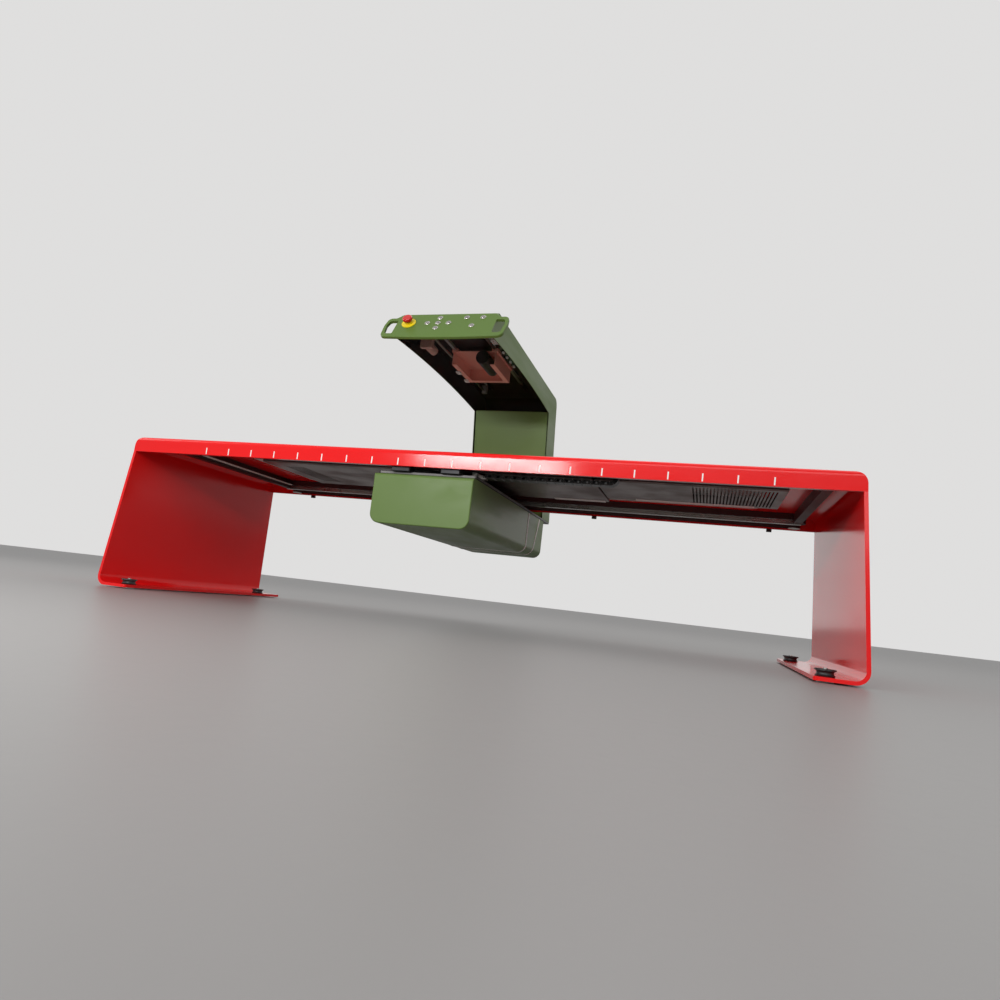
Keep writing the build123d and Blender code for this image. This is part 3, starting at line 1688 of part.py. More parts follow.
def build_scanner():
    """Everything that rides on the carriage."""
    build_carriage_plate()
    build_bearing_blocks()
    build_belt_clamp()
    build_box_covers()
    build_seam_strips()
    build_rim_seal()
    build_arm_shell()
    build_column_panel()
    build_arm_cover()
    build_control_panel()
    build_button_bezels()
    for name, point in buttons.items():
        build_button(name, point)
    build_estop_base()
    build_estop_button()
    build_scan_rails()
    build_scan_screw(
        "source_screw", source_screw_x, source_screw_z,
        source_bearing, source_motor_front + motor_seat - end_play,
    )
    build_scan_screw(
        "detector_screw", detector_screw_x, detector_screw_z,
        detector_motor_front - motor_seat + motor_wall + end_play, detector_bearing + bearing_thick,
    )
    build_screw_bearings()
    build_source_motor()
    build_source_slide()
    build_xray_tank()
    build_collimator()
    build_detector_drive()
    build_detector_bracket()
    build_detector_tube()
    build_detector_board()


if __name__ == "__main__":
    build_table_shell()
    build_top_panel()
    build_scale_marks()
    build_rail_frame()
    build_carriage_rails()
    build_pan(
        "belly_pan_left", pan_left_start, pan_split, pan_left_back,
        pan_left_start + 60, vent_count_left,
    )
    build_pan(
        "belly_pan_right", pan_right_start, pan_right_end, pan_right_back,
        pan_right_end - 30 - (vent_count_right - 1) * vent_pitch, vent_count_right,
    )
    build_pan_screws()
    build_power_supply()
    build_control_board()
    build_drive_belt()
    build_pulley("drive_pulley", 1)
    build_pulley("idler_pulley", -1)
    build_drive_motor()
    build_idler_bracket()
    build_energy_chain()
    build_chain_anchor()
    build_chain_bracket()
    build_cable_clips()
    build_levelling_feet()
    names = ("knob_front_left", "knob_rear_left", "knob_front_right", "knob_rear_right")
    for name, point in zip(names, foot_points()):
        build_knob(name, point)
    build_scanner()
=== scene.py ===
"""Looks of the bone densitometer: finishes, small fittings, floor, light and camera."""

from math import radians

import bmesh
import bpy
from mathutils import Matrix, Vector


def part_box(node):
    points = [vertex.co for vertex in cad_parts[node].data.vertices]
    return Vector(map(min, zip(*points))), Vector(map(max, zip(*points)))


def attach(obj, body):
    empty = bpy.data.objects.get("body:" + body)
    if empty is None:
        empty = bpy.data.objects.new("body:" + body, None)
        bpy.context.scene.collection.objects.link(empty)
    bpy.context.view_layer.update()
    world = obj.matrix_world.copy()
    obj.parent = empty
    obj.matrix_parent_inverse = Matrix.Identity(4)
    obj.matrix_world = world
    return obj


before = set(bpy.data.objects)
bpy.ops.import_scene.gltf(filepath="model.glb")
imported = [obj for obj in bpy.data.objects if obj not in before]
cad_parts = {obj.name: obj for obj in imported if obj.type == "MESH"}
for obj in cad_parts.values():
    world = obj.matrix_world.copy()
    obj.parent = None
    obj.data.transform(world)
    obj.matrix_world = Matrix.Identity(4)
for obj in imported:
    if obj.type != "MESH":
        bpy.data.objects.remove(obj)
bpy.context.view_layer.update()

# Where the painted shade inside the arm ends, just within its outer face, in metres. At the
# column's back that is the line Y + ARM_LEAN * Z = ARM_BACK. The chord Y + ELBOW_CHORD[0] * Z =
# ELBOW_CHORD[1] cuts off the rounded elbow, and the circle about ELBOW_CENTRE, as Y and Z, gives
# back what lies in it. ARM_SKIN is the margin at the sides and the top.

ARM_BACK = 0.6968
ARM_LEAN = 0.18868
ARM_SKIN = 0.0015
ELBOW_CHORD = (1.2062, 1.7875)
ELBOW_CENTRE = (0.4552, 1.063)
ELBOW_RADIUS = 0.0405

bl_info = {
    "name": "Bone densitometer",
    "version": (1, 0, 0),
    "blender": (4, 5, 0),
    "location": "View3D > Sidebar > Densitometer",
    "description": "Finishes, small fittings and studio of a bone densitometer",
    "category": "Object",
}


# Settings


def colour_property(name, description, default):
    """Colour setting with the usual limits."""
    return bpy.props.FloatVectorProperty(
        name=name, description=description, default=default, subtype="COLOR", size=3,
        min=0.0, max=1.0,
    )


class DENSITOMETER_PG_finish(bpy.types.PropertyGroup):
    """Colours and gloss of the machine"""

    table_red: colour_property(
        "Table red", "Gloss paint of the folded table", (0.84, 0.009, 0.010)
    )
    scanner_green: colour_property(
        "Scanner green", "Satin paint of the arm, the box and the control plate",
        (0.10, 0.168, 0.034),
    )
    # Paler green of the front shell and the column panel: partly their own paint, partly painted
    # sheen on their front faces.
    front_green: colour_property(
        "Front green", "Paint of the front shell and the column", (0.122, 0.19, 0.052)
    )
    # Dark red of the rail frame: partly its paint, partly painted shade under the table top.
    frame_bar: colour_property("Frame bar", "Dark paint of the rail frame", (0.055, 0.017, 0.016))
    housing: colour_property("Housing", "Paint of the detector's gear housing", (0.55, 0.33, 0.27))
    motor_black: colour_property("Motor black", "Paint of the motors", (0.02, 0.02, 0.021))
    tank_grey: colour_property("Tank grey", "Paint of the sealed tank", (0.2, 0.2, 0.21))
    seam_silver: colour_property("Seam silver", "Strips in the box's seams", (0.82, 0.76, 0.73))
    seam_pale: colour_property("Seam pale", "Bands over the box's seams", (0.84, 0.78, 0.74))
    # Pale of the ridged strip, and of the painted highlights under the pans' rear bends.
    trim_pale: colour_property("Trim pale", "Ridged strip and pan trims", (0.8, 0.74, 0.7))
    sheet_metal: colour_property("Sheet metal", "Aluminium of the pans", (0.2, 0.15, 0.14))
    rail_steel: colour_property("Rail steel", "Ground steel of the rails", (0.55, 0.53, 0.5))
    block_steel: colour_property("Block steel", "Bearing blocks", (0.05, 0.05, 0.052))
    plate_steel: colour_property("Plate steel", "Carriage plate", (0.16, 0.155, 0.15))
    bright_zinc: colour_property("Bright zinc", "Screws of the pans", (0.78, 0.77, 0.74))
    dull_zinc: colour_property("Dull zinc", "Brackets and pulleys", (0.55, 0.54, 0.5))
    foot_zinc: colour_property("Foot zinc", "Studs of the levelling feet", (0.52, 0.52, 0.5))
    bezel_steel: colour_property("Bezel steel", "Rims of the buttons", (0.5, 0.48, 0.46))
    button_steel: colour_property("Button steel", "Faces of the buttons", (0.4, 0.38, 0.37))
    alloy: colour_property("Alloy", "Slide and screw bearings", (0.6, 0.59, 0.56))
    collimator_steel: colour_property("Collimator steel", "Collimator", (0.25, 0.25, 0.25))
    plastic_black: colour_property("Black plastic", "Knobs, clips and tube", (0.014, 0.014, 0.015))
    chain_black: colour_property("Chain black", "Links of the energy chain", (0.006, 0.006, 0.006))
    seal_black: colour_property("Seal black", "Seal round the box", (0.018, 0.018, 0.018))
    belt_red: colour_property("Belt red", "Dark red of the drive belt", (0.05, 0.012, 0.011))
    board_green: colour_property("Board green", "Circuit boards", (0.01, 0.07, 0.03))
    smoke: colour_property("Smoke", "Tint of the cover under the arm", (0.016, 0.006, 0.005))
    smoke_depth: bpy.props.FloatProperty(
        name="Smoke depth", description="Share of the light that the cover under the arm stops",
        default=0.12, min=0.0, max=1.0, subtype="FACTOR",
    )
    # Painted shade inside the arm, which is bare and unlit.
    inside_shade: colour_property("Lining", "Dark inside of the arm", (0.012, 0.006, 0.005))
    primer: colour_property("Primer", "Salmon paint of the detector's bracket", (0.88, 0.40, 0.31))
    plug_white: colour_property("Plug white", "Housings of the plugs", (0.8, 0.78, 0.74))
    composite: colour_property("Composite", "Panel in the table top", (0.62, 0.605, 0.57))
    stop_yellow: colour_property("Stop yellow", "Disc of the stop button", (0.80, 0.62, 0.01))
    stop_red: colour_property("Stop red", "Mushroom of the stop button", (0.55, 0.012, 0.01))
    mark_white: colour_property("Mark white", "Scale on the front apron", (0.86, 0.85, 0.82))
    gloss: bpy.props.FloatProperty(
        name="Paint roughness", description="Roughness of the table's paint", default=0.13,
        min=0.02, max=1.0, subtype="FACTOR",
    )
    peel: bpy.props.FloatProperty(
        name="Orange peel", description="Height of the ripple in the paint", default=0.00002,
        min=0.0, max=0.001, precision=6, unit="LENGTH",
    )


def length_property(name, description, default):
    """Size in metres."""
    return bpy.props.FloatProperty(
        name=name, description=description, default=default, min=0.0, precision=5, unit="LENGTH",
    )


class DENSITOMETER_PG_fittings(bpy.types.PropertyGroup):
    """Sizes of the pieces that are modelled here"""

    plug_pitch: length_property("Plug pitch", "From one plug on the board to the next", 0.05)
    ridge_pitch: length_property("Ridge pitch", "From one ridge of the strip to the next", 0.008)
    ridge_rise: length_property("Ridge rise", "How far the ridges stand out", 0.0012)
    strip_width: length_property("Strip width", "Width of the ridged strip", 0.022)
    strip_margin: length_property("Strip margin", "Frame left bare at each end of it", 0.04)
    # Size and place of the painted highlights under the pans' rear bends.
    trim_width: length_property("Trim width", "Width of the trims under the pans", 0.034)
    trim_edge: length_property("Trim edge", "Rear edge of the pan to the trim", 0.012)
    band_width: length_property("Band width", "Width of the bands over the box's seams", 0.012)
    band_proud: length_property("Band height", "How far the bands stand out", 0.0012)
    band_corner: length_property("Band corner", "Radius of the box's lower edges", 0.035)
    lip_drop: length_property("Lip drop", "How far the lip's rib hangs down", 0.003)


class DENSITOMETER_PG_stage(bpy.types.PropertyGroup):
    """Floor, light and camera"""

    floor_tone: colour_property("Floor", "Pale floor under the machine", (0.26, 0.25, 0.243))
    wall_tone: colour_property("Backdrop", "Light behind the machine", (0.74, 0.735, 0.73))
    key_power: bpy.props.FloatProperty(
        name="Front lamp", description="Power of the large lamp in front", default=80.0,
        min=0.0, unit="POWER",
    )
    fill_power: bpy.props.FloatProperty(
        name="Side lamp", description="Power of the lamp at the left", default=50.0,
        min=0.0, unit="POWER",
    )
    top_power: bpy.props.FloatProperty(
        name="Top lamp", description="Power of the lamp over the machine", default=48.0,
        min=0.0, unit="POWER",
    )
    streak_power: bpy.props.FloatProperty(
        name="Streak lamp", description="Power of the slim lamp that shows in the front apron",
        default=26.0, min=0.0, unit="POWER",
    )
    room_light: bpy.props.FloatProperty(
        name="Room light", description="Strength of the even light from all round", default=0.35,
        min=0.0,
    )
    camera_place: bpy.props.FloatVectorProperty(
        name="Camera", description="Place of the camera", size=3, subtype="TRANSLATION",
        unit="LENGTH", default=(0.89387, -2.63371, 0.12053),
    )
    camera_turn: bpy.props.FloatVectorProperty(
        name="Camera turn", description="Turn of the camera about X, Y and Z", size=3,
        subtype="EULER", unit="ROTATION",
        default=(radians(94.8603), radians(-6.6238), radians(17.4016)),
    )
    camera_lens: bpy.props.FloatProperty(
        name="Lens", description="Focal length in millimetres", default=24.505, min=1.0,
    )
    camera_shift: bpy.props.FloatVectorProperty(
        name="Camera shift", description="Shift that frames the machine as the photo does", size=2,
        default=(0.008967, 0.041117),
    )


def finish():
    """Settings of the finishes."""
    return bpy.context.scene.densitometer_finish


def fittings():
    """Sizes of the pieces that are modelled here."""
    return bpy.context.scene.densitometer_fittings


# Shader groups


def new_group(name, **inputs):
    """Shader group that takes a colour and numbers, and gives a colour, roughness and height."""
    tree = bpy.data.node_groups.new(name, "ShaderNodeTree")
    colour = tree.interface.new_socket("Colour", in_out="INPUT", socket_type="NodeSocketColor")
    colour.default_value = (0.5, 0.5, 0.5, 1.0)
    for label, value in inputs.items():
        socket = tree.interface.new_socket(label, in_out="INPUT", socket_type="NodeSocketFloat")
        socket.default_value = value
    tree.interface.new_socket("Colour", in_out="OUTPUT", socket_type="NodeSocketColor")
    tree.interface.new_socket("Roughness", in_out="OUTPUT", socket_type="NodeSocketFloat")
    tree.interface.new_socket("Height", in_out="OUTPUT", socket_type="NodeSocketFloat")
    return tree, tree.nodes.new("NodeGroupInput").outputs


def close_group(tree, **results):
    """Link the results of a group to its outputs."""
    made = tree.nodes.new("NodeGroupOutput")
    for label, socket in results.items():
        tree.links.new(socket, made.inputs[label])
    return tree


def add_node(tree, kind, links=None, **values):
    """Node with its properties set, and its inputs linked or filled by name."""
    node = tree.nodes.new(kind)
    for key, value in values.items():
        setattr(node, key, value)
    for key, value in (links or {}).items():
        socket = node.inputs[key]
        if isinstance(value, bpy.types.NodeSocket):
            tree.links.new(value, socket)
        else:
            socket.default_value = value
    return node


def calc(tree, operation, first, second=0.5, third=None):
    """Result of one Math node."""
    links = {0: first, 1: second}
    if third is not None:
        links[2] = third
    return add_node(tree, "ShaderNodeMath", links, operation=operation).outputs[0]


def mix_colour(tree, factor, first, second):
    """Result of one colour Mix node."""
    links = {0: factor, 6: first, 7: second}
    return add_node(tree, "ShaderNodeMix", links, data_type="RGBA").outputs[2]


def noise(tree, scale, detail=2.0, stretch=None, roughness=0.5):
    """Noise on Object coordinates, stretched along an axis if asked."""
    place = tree.nodes.new("ShaderNodeTexCoord").outputs["Object"]
    if stretch:
        place = add_node(tree, "ShaderNodeMapping", {"Vector": place, "Scale": stretch}).outputs[0]
    return add_node(
        tree, "ShaderNodeTexNoise",
        {"Vector": place, "Scale": scale, "Detail": detail, "Roughness": roughness},
    ).outputs["Fac"]


def ranged(tree, value, low, high, to_low, to_high):
    """Value moved from one range to another, and held within it."""
    return add_node(
        tree, "ShaderNodeMapRange",
        {"Value": value, "From Min": low, "From Max": high, "To Min": to_low, "To Max": to_high},
    ).outputs[0]


def shaded(tree, colour, value):
    """Colour made darker or lighter by a factor."""
    links = {"Color": colour, "Value": value}
    return add_node(tree, "ShaderNodeHueSaturation", links).outputs[0]


def paint_film_group():
    """Sprayed paint: a faint change of tone, ripple, wiped smears and settled dust."""
    tree, given = new_group("Paint Film", Roughness=0.3, Tone=0.06, Smear=0.08, Dust=0.04)
    cloud = noise(tree, 2.3, 3.0)
    swing = calc(tree, "SUBTRACT", cloud, 0.5)
    tone = calc(tree, "MULTIPLY_ADD", swing, given["Tone"], 1.0)
    tinted = shaded(tree, given["Colour"], tone)
    coords = tree.nodes.new("ShaderNodeTexCoord")
    upward = add_node(tree, "ShaderNodeSeparateXYZ", {0: coords.outputs["Normal"]}).outputs["Z"]
    level = ranged(tree, upward, 0.85, 1.0, 0.0, 1.0)
    specks = ranged(tree, noise(tree, 46.0, 6.0, roughness=0.7), 0.46, 0.7, 0.0, 1.0)
    dust = calc(tree, "MULTIPLY", calc(tree, "MULTIPLY", level, specks), given["Dust"])
    dusty = mix_colour(tree, dust, tinted, (0.5, 0.48, 0.45, 1.0))
    wiped = noise(tree, 5.0, 4.0, stretch=(1.0, 0.35, 2.2), roughness=0.65)
    wiped = ranged(tree, wiped, 0.42, 0.68, 0.0, 1.0)
    smear = calc(tree, "MULTIPLY_ADD", wiped, given["Smear"], given["Roughness"])
    rough = calc(tree, "MULTIPLY_ADD", dust, 0.5, smear)
    return close_group(tree, Colour=dusty, Roughness=rough, Height=noise(tree, 260.0))


def brushed_group():
    """Drawn or ground metal: fine lines along one axis, and a few dull patches."""
    tree, given = new_group("Drawn Metal", Roughness=0.3, Lines=0.12, Patches=0.12)
    lines = noise(tree, 90.0, 4.0, stretch=(0.05, 6.0, 6.0), roughness=0.7)
    patch = ranged(tree, noise(tree, 7.0, 4.0), 0.4, 0.7, 0.0, 1.0)
    swing = calc(tree, "SUBTRACT", lines, 0.5)
    shade = calc(tree, "MULTIPLY_ADD", swing, given["Lines"], 1.0)
    shade = calc(tree, "SUBTRACT", shade, calc(tree, "MULTIPLY", patch, given["Patches"]))
    toned = shaded(tree, given["Colour"], shade)
    rough = calc(tree, "MULTIPLY_ADD", patch, given["Patches"], given["Roughness"])
    rough = calc(tree, "ADD", rough, calc(tree, "MULTIPLY", swing, 0.12))
    return close_group(tree, Colour=toned, Roughness=rough, Height=lines)


def moulded_group():
    """Moulded plastic or rubber: a fine grain and light scuffs that dull it."""
    tree, given = new_group("Moulded Grain", Roughness=0.5, Scuffs=0.2, Grain=900.0)
    grain = noise(tree, given["Grain"])
    scuff = ranged(tree, noise(tree, 38.0, 5.0, roughness=0.7), 0.5, 0.72, 0.0, 1.0)
    scuff = calc(tree, "MULTIPLY", scuff, given["Scuffs"])
    paler = mix_colour(tree, scuff, given["Colour"], (0.3, 0.3, 0.3, 1.0))
    rough = calc(tree, "ADD", given["Roughness"], calc(tree, "MULTIPLY", scuff, 0.6))
    return close_group(tree, Colour=paler, Roughness=rough, Height=grain)


# Materials


def shared_group(name):
    """Group of that name, built the first time it is asked for."""
    builders = {
        "Paint Film": paint_film_group,
        "Drawn Metal": brushed_group,
        "Moulded Grain": moulded_group,
    }
    return bpy.data.node_groups.get(name) or builders[name]()


def surface(name, group, colour, values, bump, **constants):
    """Material whose colour, roughness and bump come from a shared group."""
    material = bpy.data.materials.new(name)
    material.use_nodes = True
    tree = material.node_tree
    shader = tree.nodes["Principled BSDF"]
    for key, value in constants.items():
        shader.inputs[key.replace("_", " ")].default_value = value
    effect = tree.nodes.new("ShaderNodeGroup")
    effect.node_tree = shared_group(group)
    effect.inputs["Colour"].default_value = (*colour, 1.0)
    for key, value in values.items():
        effect.inputs[key].default_value = value
    tree.links.new(effect.outputs["Colour"], shader.inputs["Base Color"])
    tree.links.new(effect.outputs["Roughness"], shader.inputs["Roughness"])
    relief = add_node(
        tree, "ShaderNodeBump",
        {"Height": effect.outputs["Height"], "Distance": bump, "Strength": 1.0},
    )
    tree.links.new(relief.outputs["Normal"], shader.inputs["Normal"])
    return material


def painted(name, colour, roughness, tone=0.06, smear=0.08, dust=0.04, bump=0.00005):
    """Sprayed paint."""
    return surface(
        name, "Paint Film", colour,
        {"Roughness": roughness, "Tone": tone, "Smear": smear, "Dust": dust}, bump,
        Specular_IOR_Level=0.24,
    )


def metal(name, colour, roughness, lines=0.2, patches=0.15, bump=0.00002):
    """Drawn or ground metal."""
    return surface(
        name, "Drawn Metal", colour,
        {"Roughness": roughness, "Lines": lines, "Patches": patches}, bump, Metallic=1.0,
    )


def moulded(name, colour, roughness, scuffs=0.12, grain=900.0, bump=0.00004):
    """Moulded plastic or rubber."""
    return surface(
        name, "Moulded Grain", colour,
        {"Roughness": roughness, "Scuffs": scuffs, "Grain": grain}, bump,
    )


def smoked_sheet(colour, depth):
    """Dark clear sheet: part of the light goes through, and its gloss dulls in patches."""
    material = bpy.data.materials.new("Smoked Sheet")
    material.use_nodes = True
    tree = material.node_tree
    shader = tree.nodes["Principled BSDF"]
    shader.inputs["IOR"].default_value = 1.08
    cloud = noise(tree, 4.0, 3.0)
    tint = mix_colour(
        tree, cloud, (*(c * 0.8 for c in colour), 1.0), (*(c * 1.2 for c in colour), 1.0)
    )
    tree.links.new(tint, shader.inputs["Base Color"])
    tree.links.new(ranged(tree, cloud, 0.3, 0.7, 0.04, 0.1), shader.inputs["Roughness"])
    tree.links.new(
        ranged(tree, cloud, 0.3, 0.7, depth - 0.02, depth + 0.02), shader.inputs["Alpha"]
    )
    return material


def shade_arm_inside(material, colour, low, high):
    """Paint shade into the arm's inside, which is bare and unlit, between its box's corners."""
    tree = material.node_tree
    shader = tree.nodes["Principled BSDF"]
    place = add_node(
        tree, "ShaderNodeSeparateXYZ", {0: tree.nodes.new("ShaderNodeTexCoord").outputs["Object"]}
    ).outputs
    middle, half = (low[0] + high[0]) / 2, (high[0] - low[0]) / 2
    beside = calc(tree, "ABSOLUTE", calc(tree, "SUBTRACT", place["X"], middle))
    inner = calc(tree, "LESS_THAN", beside, half - ARM_SKIN)
    under = calc(tree, "LESS_THAN", place["Z"], high[2] - ARM_SKIN)
    column = calc(tree, "MULTIPLY_ADD", place["Z"], ARM_LEAN, place["Y"])
    ahead = calc(tree, "LESS_THAN", column, ARM_BACK)
    chord = calc(tree, "MULTIPLY_ADD", place["Z"], ELBOW_CHORD[0], place["Y"])
    short = calc(tree, "LESS_THAN", chord, ELBOW_CHORD[1])
    apart_y, apart_z = (
        calc(tree, "SUBTRACT", place[axis], centre) for axis, centre in zip("YZ", ELBOW_CENTRE)
    )
    square_z = calc(tree, "MULTIPLY", apart_z, apart_z)
    square = calc(tree, "MULTIPLY_ADD", apart_y, apart_y, square_z)
    rounded = calc(tree, "LESS_THAN", square, ELBOW_RADIUS ** 2)
    within = calc(tree, "MULTIPLY", ahead, calc(tree, "MAXIMUM", short, rounded))
    # Where the painted shade inside the arm goes.
    mask = calc(tree, "MULTIPLY", calc(tree, "MULTIPLY", inner, under), within)
    paint = shader.inputs["Base Color"].links[0].from_socket
    tree.links.new(mix_colour(tree, mask, paint, (*colour, 1.0)), shader.inputs["Base Color"])


def dress(material, *nodes):
    """Give CAD nodes a finish."""
    for name in nodes:
        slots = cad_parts[name].data.materials
        slots.clear()
        slots.append(material)


class DENSITOMETER_OT_table(bpy.types.Operator):
    """Paint the folded table and its scale, and finish the feet"""

    bl_idname = "densitometer.table"
    bl_label = "Table"

    def execute(self, context):
        f = finish()
        red = painted("Table Red", f.table_red, f.gloss, tone=0.05, smear=0.05, bump=f.peel)
        dress(red, "table_shell")
        dress(moulded("Top Composite", f.composite, 0.5, scuffs=0.1, grain=500.0), "top_panel")
        dress(moulded("Scale White", f.mark_white, 0.55, scuffs=0.04), "scale_marks")
        knob = moulded("Knob Black", f.plastic_black, 0.42, scuffs=0.2, grain=700.0)
        dress(
            knob, "knob_front_left", "knob_rear_left", "knob_front_right", "knob_rear_right"
        )
        dress(metal("Foot Zinc", f.foot_zinc, 0.38), "levelling_feet")
        return {"FINISHED"}


class DENSITOMETER_OT_underside(bpy.types.Operator):
    """Finish the rails, pans, chain and drive under the top"""

    bl_idname = "densitometer.underside"
    bl_label = "Underside"

    def execute(self, context):
        f = finish()
        sheet = metal("Pan Sheet", f.sheet_metal, 0.34, patches=0.2)
        dress(sheet, "belly_pan_left", "belly_pan_right")
        # Frame colour is partly paint, partly painted shade under the table top.
        bar = painted("Frame Bar", f.frame_bar, 0.45, dust=0.0)
        dress(bar, "rail_frame", "idler_bracket", "belt_clamp")
        dress(metal("Rail Steel", f.rail_steel, 0.24, lines=0.3), "carriage_rails")
        dress(metal("Block Steel", f.block_steel, 0.45), "bearing_blocks")
        dress(metal("Plate Steel", f.plate_steel, 0.5), "carriage_plate")
        dress(metal("Screw Zinc", f.bright_zinc, 0.22), "pan_screws")
        dress(painted("Seam Silver", f.seam_silver, 0.35, tone=0.03, dust=0.0), "seam_strips")
        dress(moulded("Chain Black", f.chain_black, 0.34, scuffs=0.03), "energy_chain")
        dress(moulded("Clip Black", f.plastic_black, 0.5), "cable_clips")
        dress(moulded("Seal Rubber", f.seal_black, 0.8, scuffs=0.25), "rim_seal")
        dress(moulded("Belt Rubber", f.belt_red, 0.6, scuffs=0.1), "drive_belt")
        dress(metal("Bracket Zinc", f.dull_zinc, 0.36), "chain_anchor", "chain_bracket",
              "power_supply", "drive_pulley", "idler_pulley")
        dress(painted("Motor Black", f.motor_black, 0.4, dust=0.3), "drive_motor", "source_motor")
        dress(moulded("Board Green", f.board_green, 0.45, grain=400.0), "control_board",
              "detector_board")
        return {"FINISHED"}


class DENSITOMETER_OT_scanner(bpy.types.Operator):
    """Paint the arm, the column and the source box"""

    bl_idname = "densitometer.scanner"
    bl_label = "Scanner"

    def execute(self, context):
        f = finish()
        green = painted(
            "Scanner Green", f.scanner_green, 0.36, tone=0.1, smear=0.14, bump=0.00008
        )
        dress(green, "middle_cover", "tail_cover", "control_panel")
        # Paler green: partly own paint, partly painted sheen on the front faces.
        front = painted("Front Green", f.front_green, 0.34, tone=0.08, smear=0.14, dust=0.05)
        dress(front, "source_cover", "column_panel")
        # Copy of the green with painted shade inside the arm.
        arm_with_shade = green.copy()
        arm_with_shade.name = "Arm Green"
        shade_arm_inside(arm_with_shade, f.inside_shade, *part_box("arm_shell"))
        dress(arm_with_shade, "arm_shell")
        dress(smoked_sheet(f.smoke, f.smoke_depth), "arm_cover")
        return {"FINISHED"}


class DENSITOMETER_OT_controls(bpy.types.Operator):
    """Finish the push buttons and the emergency stop"""

    bl_idname = "densitometer.controls"
    bl_label = "Controls"

    def execute(self, context):
        f = finish()
        buttons = {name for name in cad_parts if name.startswith("button_")}
        dress(metal("Bezel Steel", f.bezel_steel, 0.24, lines=0.05), "button_bezels")
        steel = metal("Button Steel", f.button_steel, 0.18, lines=0.1)
        dress(steel, *sorted(buttons - {"button_bezels"}))
        dress(moulded("Stop Yellow", f.stop_yellow, 0.35, scuffs=0.08), "estop_base")
        dress(moulded("Stop Red", f.stop_red, 0.22, scuffs=0.05), "estop_button")
        return {"FINISHED"}


class DENSITOMETER_OT_inside(bpy.types.Operator):
    """Finish the source in the box and the detector in the arm"""

    bl_idname = "densitometer.inside"
    bl_label = "Inside"

    def execute(self, context):
        f = finish()
        dress(metal("Slide Sheet", f.alloy, 0.4), "source_slide")
        dress(painted("Detector Primer", f.primer, 0.5, dust=0.0), "detector_bracket")
        dress(moulded("Detector Black", f.plastic_black, 0.35), "detector_tube")
        dress(metal("Slide Steel", f.rail_steel, 0.24, lines=0.3), "scan_rails", "source_screw",
              "detector_screw")
        dress(metal("Block Alloy", f.alloy, 0.4), "screw_bearings")
        dress(painted("Drive Housing", f.housing, 0.4, dust=0.0), "detector_drive")
        dress(painted("Tank Grey", f.tank_grey, 0.45), "xray_tank")
        dress(metal("Collimator Steel", f.collimator_steel, 0.4), "collimator")
        return {"FINISHED"}


# Small fittings that are modelled here

EDGE = 0.0003  # Width of the bevel along the edges of thin fittings


def start_block(name, low, high):
    """Block between two corners, with its place in its mesh."""
    bpy.ops.object.select_all(action="DESELECT")
    middle = [(a + b) / 2 for a, b in zip(low, high)]
    bpy.ops.mesh.primitive_cube_add(size=1.0, location=middle)
    piece = bpy.context.object
    piece.name = piece.data.name = name
    piece.scale = [b - a for a, b in zip(low, high)]
    bpy.ops.object.transform_apply(location=True, rotation=True, scale=True)
    return piece


def pick(piece, kind, test):
    """Go into edit mode with only the faces, or only the edges, that pass the test selected."""
    bpy.ops.object.mode_set(mode="EDIT")
    bpy.ops.mesh.select_mode(type=kind)
    bpy.ops.mesh.select_all(action="DESELECT")
    mesh = bmesh.from_edit_mesh(piece.data)
    for part in {"FACE": mesh.faces, "EDGE": mesh.edges}[kind]:
        part.select_set(test(part))
    bmesh.update_edit_mesh(piece.data)


def soften(piece, width, segments=2):
    """Bevel every sharp edge and smooth across it."""
    bpy.ops.object.mode_set(mode="OBJECT")
    bevel = piece.modifiers.new("Edges", "BEVEL")
    bevel.width, bevel.segments = width, segments
    bevel.limit_method = "ANGLE"
    bpy.ops.object.modifier_apply(modifier=bevel.name)
    bpy.ops.object.shade_smooth_by_angle(angle=radians(35))


def copy_to(piece, first, places):
    """A piece and its copies, each with its own mesh, moved from the first place to the others."""
    made = [piece]
    for place in places:
        bpy.ops.object.select_all(action="DESELECT")
        piece.select_set(True)
        bpy.context.view_layer.objects.active = piece
        bpy.ops.object.duplicate(linked=False)
        twin = bpy.context.object
        bpy.ops.transform.translate(value=[b - a for a, b in zip(first, place)])
        bpy.ops.object.transform_apply(location=True, rotation=True, scale=True)
        made.append(twin)
    return made


def joined(name, pieces):
    """Several pieces made one object."""
    bpy.ops.object.select_all(action="DESELECT")
    for piece in pieces:
        piece.select_set(True)
    bpy.context.view_layer.objects.active = pieces[0]
    bpy.ops.object.join()
    whole = bpy.context.object
    whole.name = whole.data.name = name
    return whole


def extrude_up(height):
    """Extrude the selected faces straight up, or down where the height is negative."""
    bpy.ops.mesh.extrude_region_move(TRANSFORM_OT_translate={"value": (0.0, 0.0, height)})


def plug(name, low, high):
    """Plug housing with a sunk mouth in its lower face and a sunk field on each side."""
    piece = start_block(name, low, high)
    least = min(b - a for a, b in zip(low, high))
    side_area = least ** 2 * 0.6
    pick(piece, "FACE", lambda face: face.normal.z < -0.9)
    bpy.ops.mesh.inset(thickness=least * 0.16)
    extrude_up((high[2] - low[2]) * 0.55)
    pick(piece, "FACE", lambda face: abs(face.normal.x) > 0.9 and face.calc_area() > side_area)
    bpy.ops.mesh.inset(thickness=least * 0.2)
    bpy.ops.mesh.extrude_region_shrink_fatten(
        TRANSFORM_OT_shrink_fatten={"value": -least * 0.05}
    )
    soften(piece, least * 0.06)
    return piece


def finish_piece(piece, material, body):
    """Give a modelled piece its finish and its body."""
    piece.data.materials.clear()
    piece.data.materials.append(material)
    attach(piece, body)


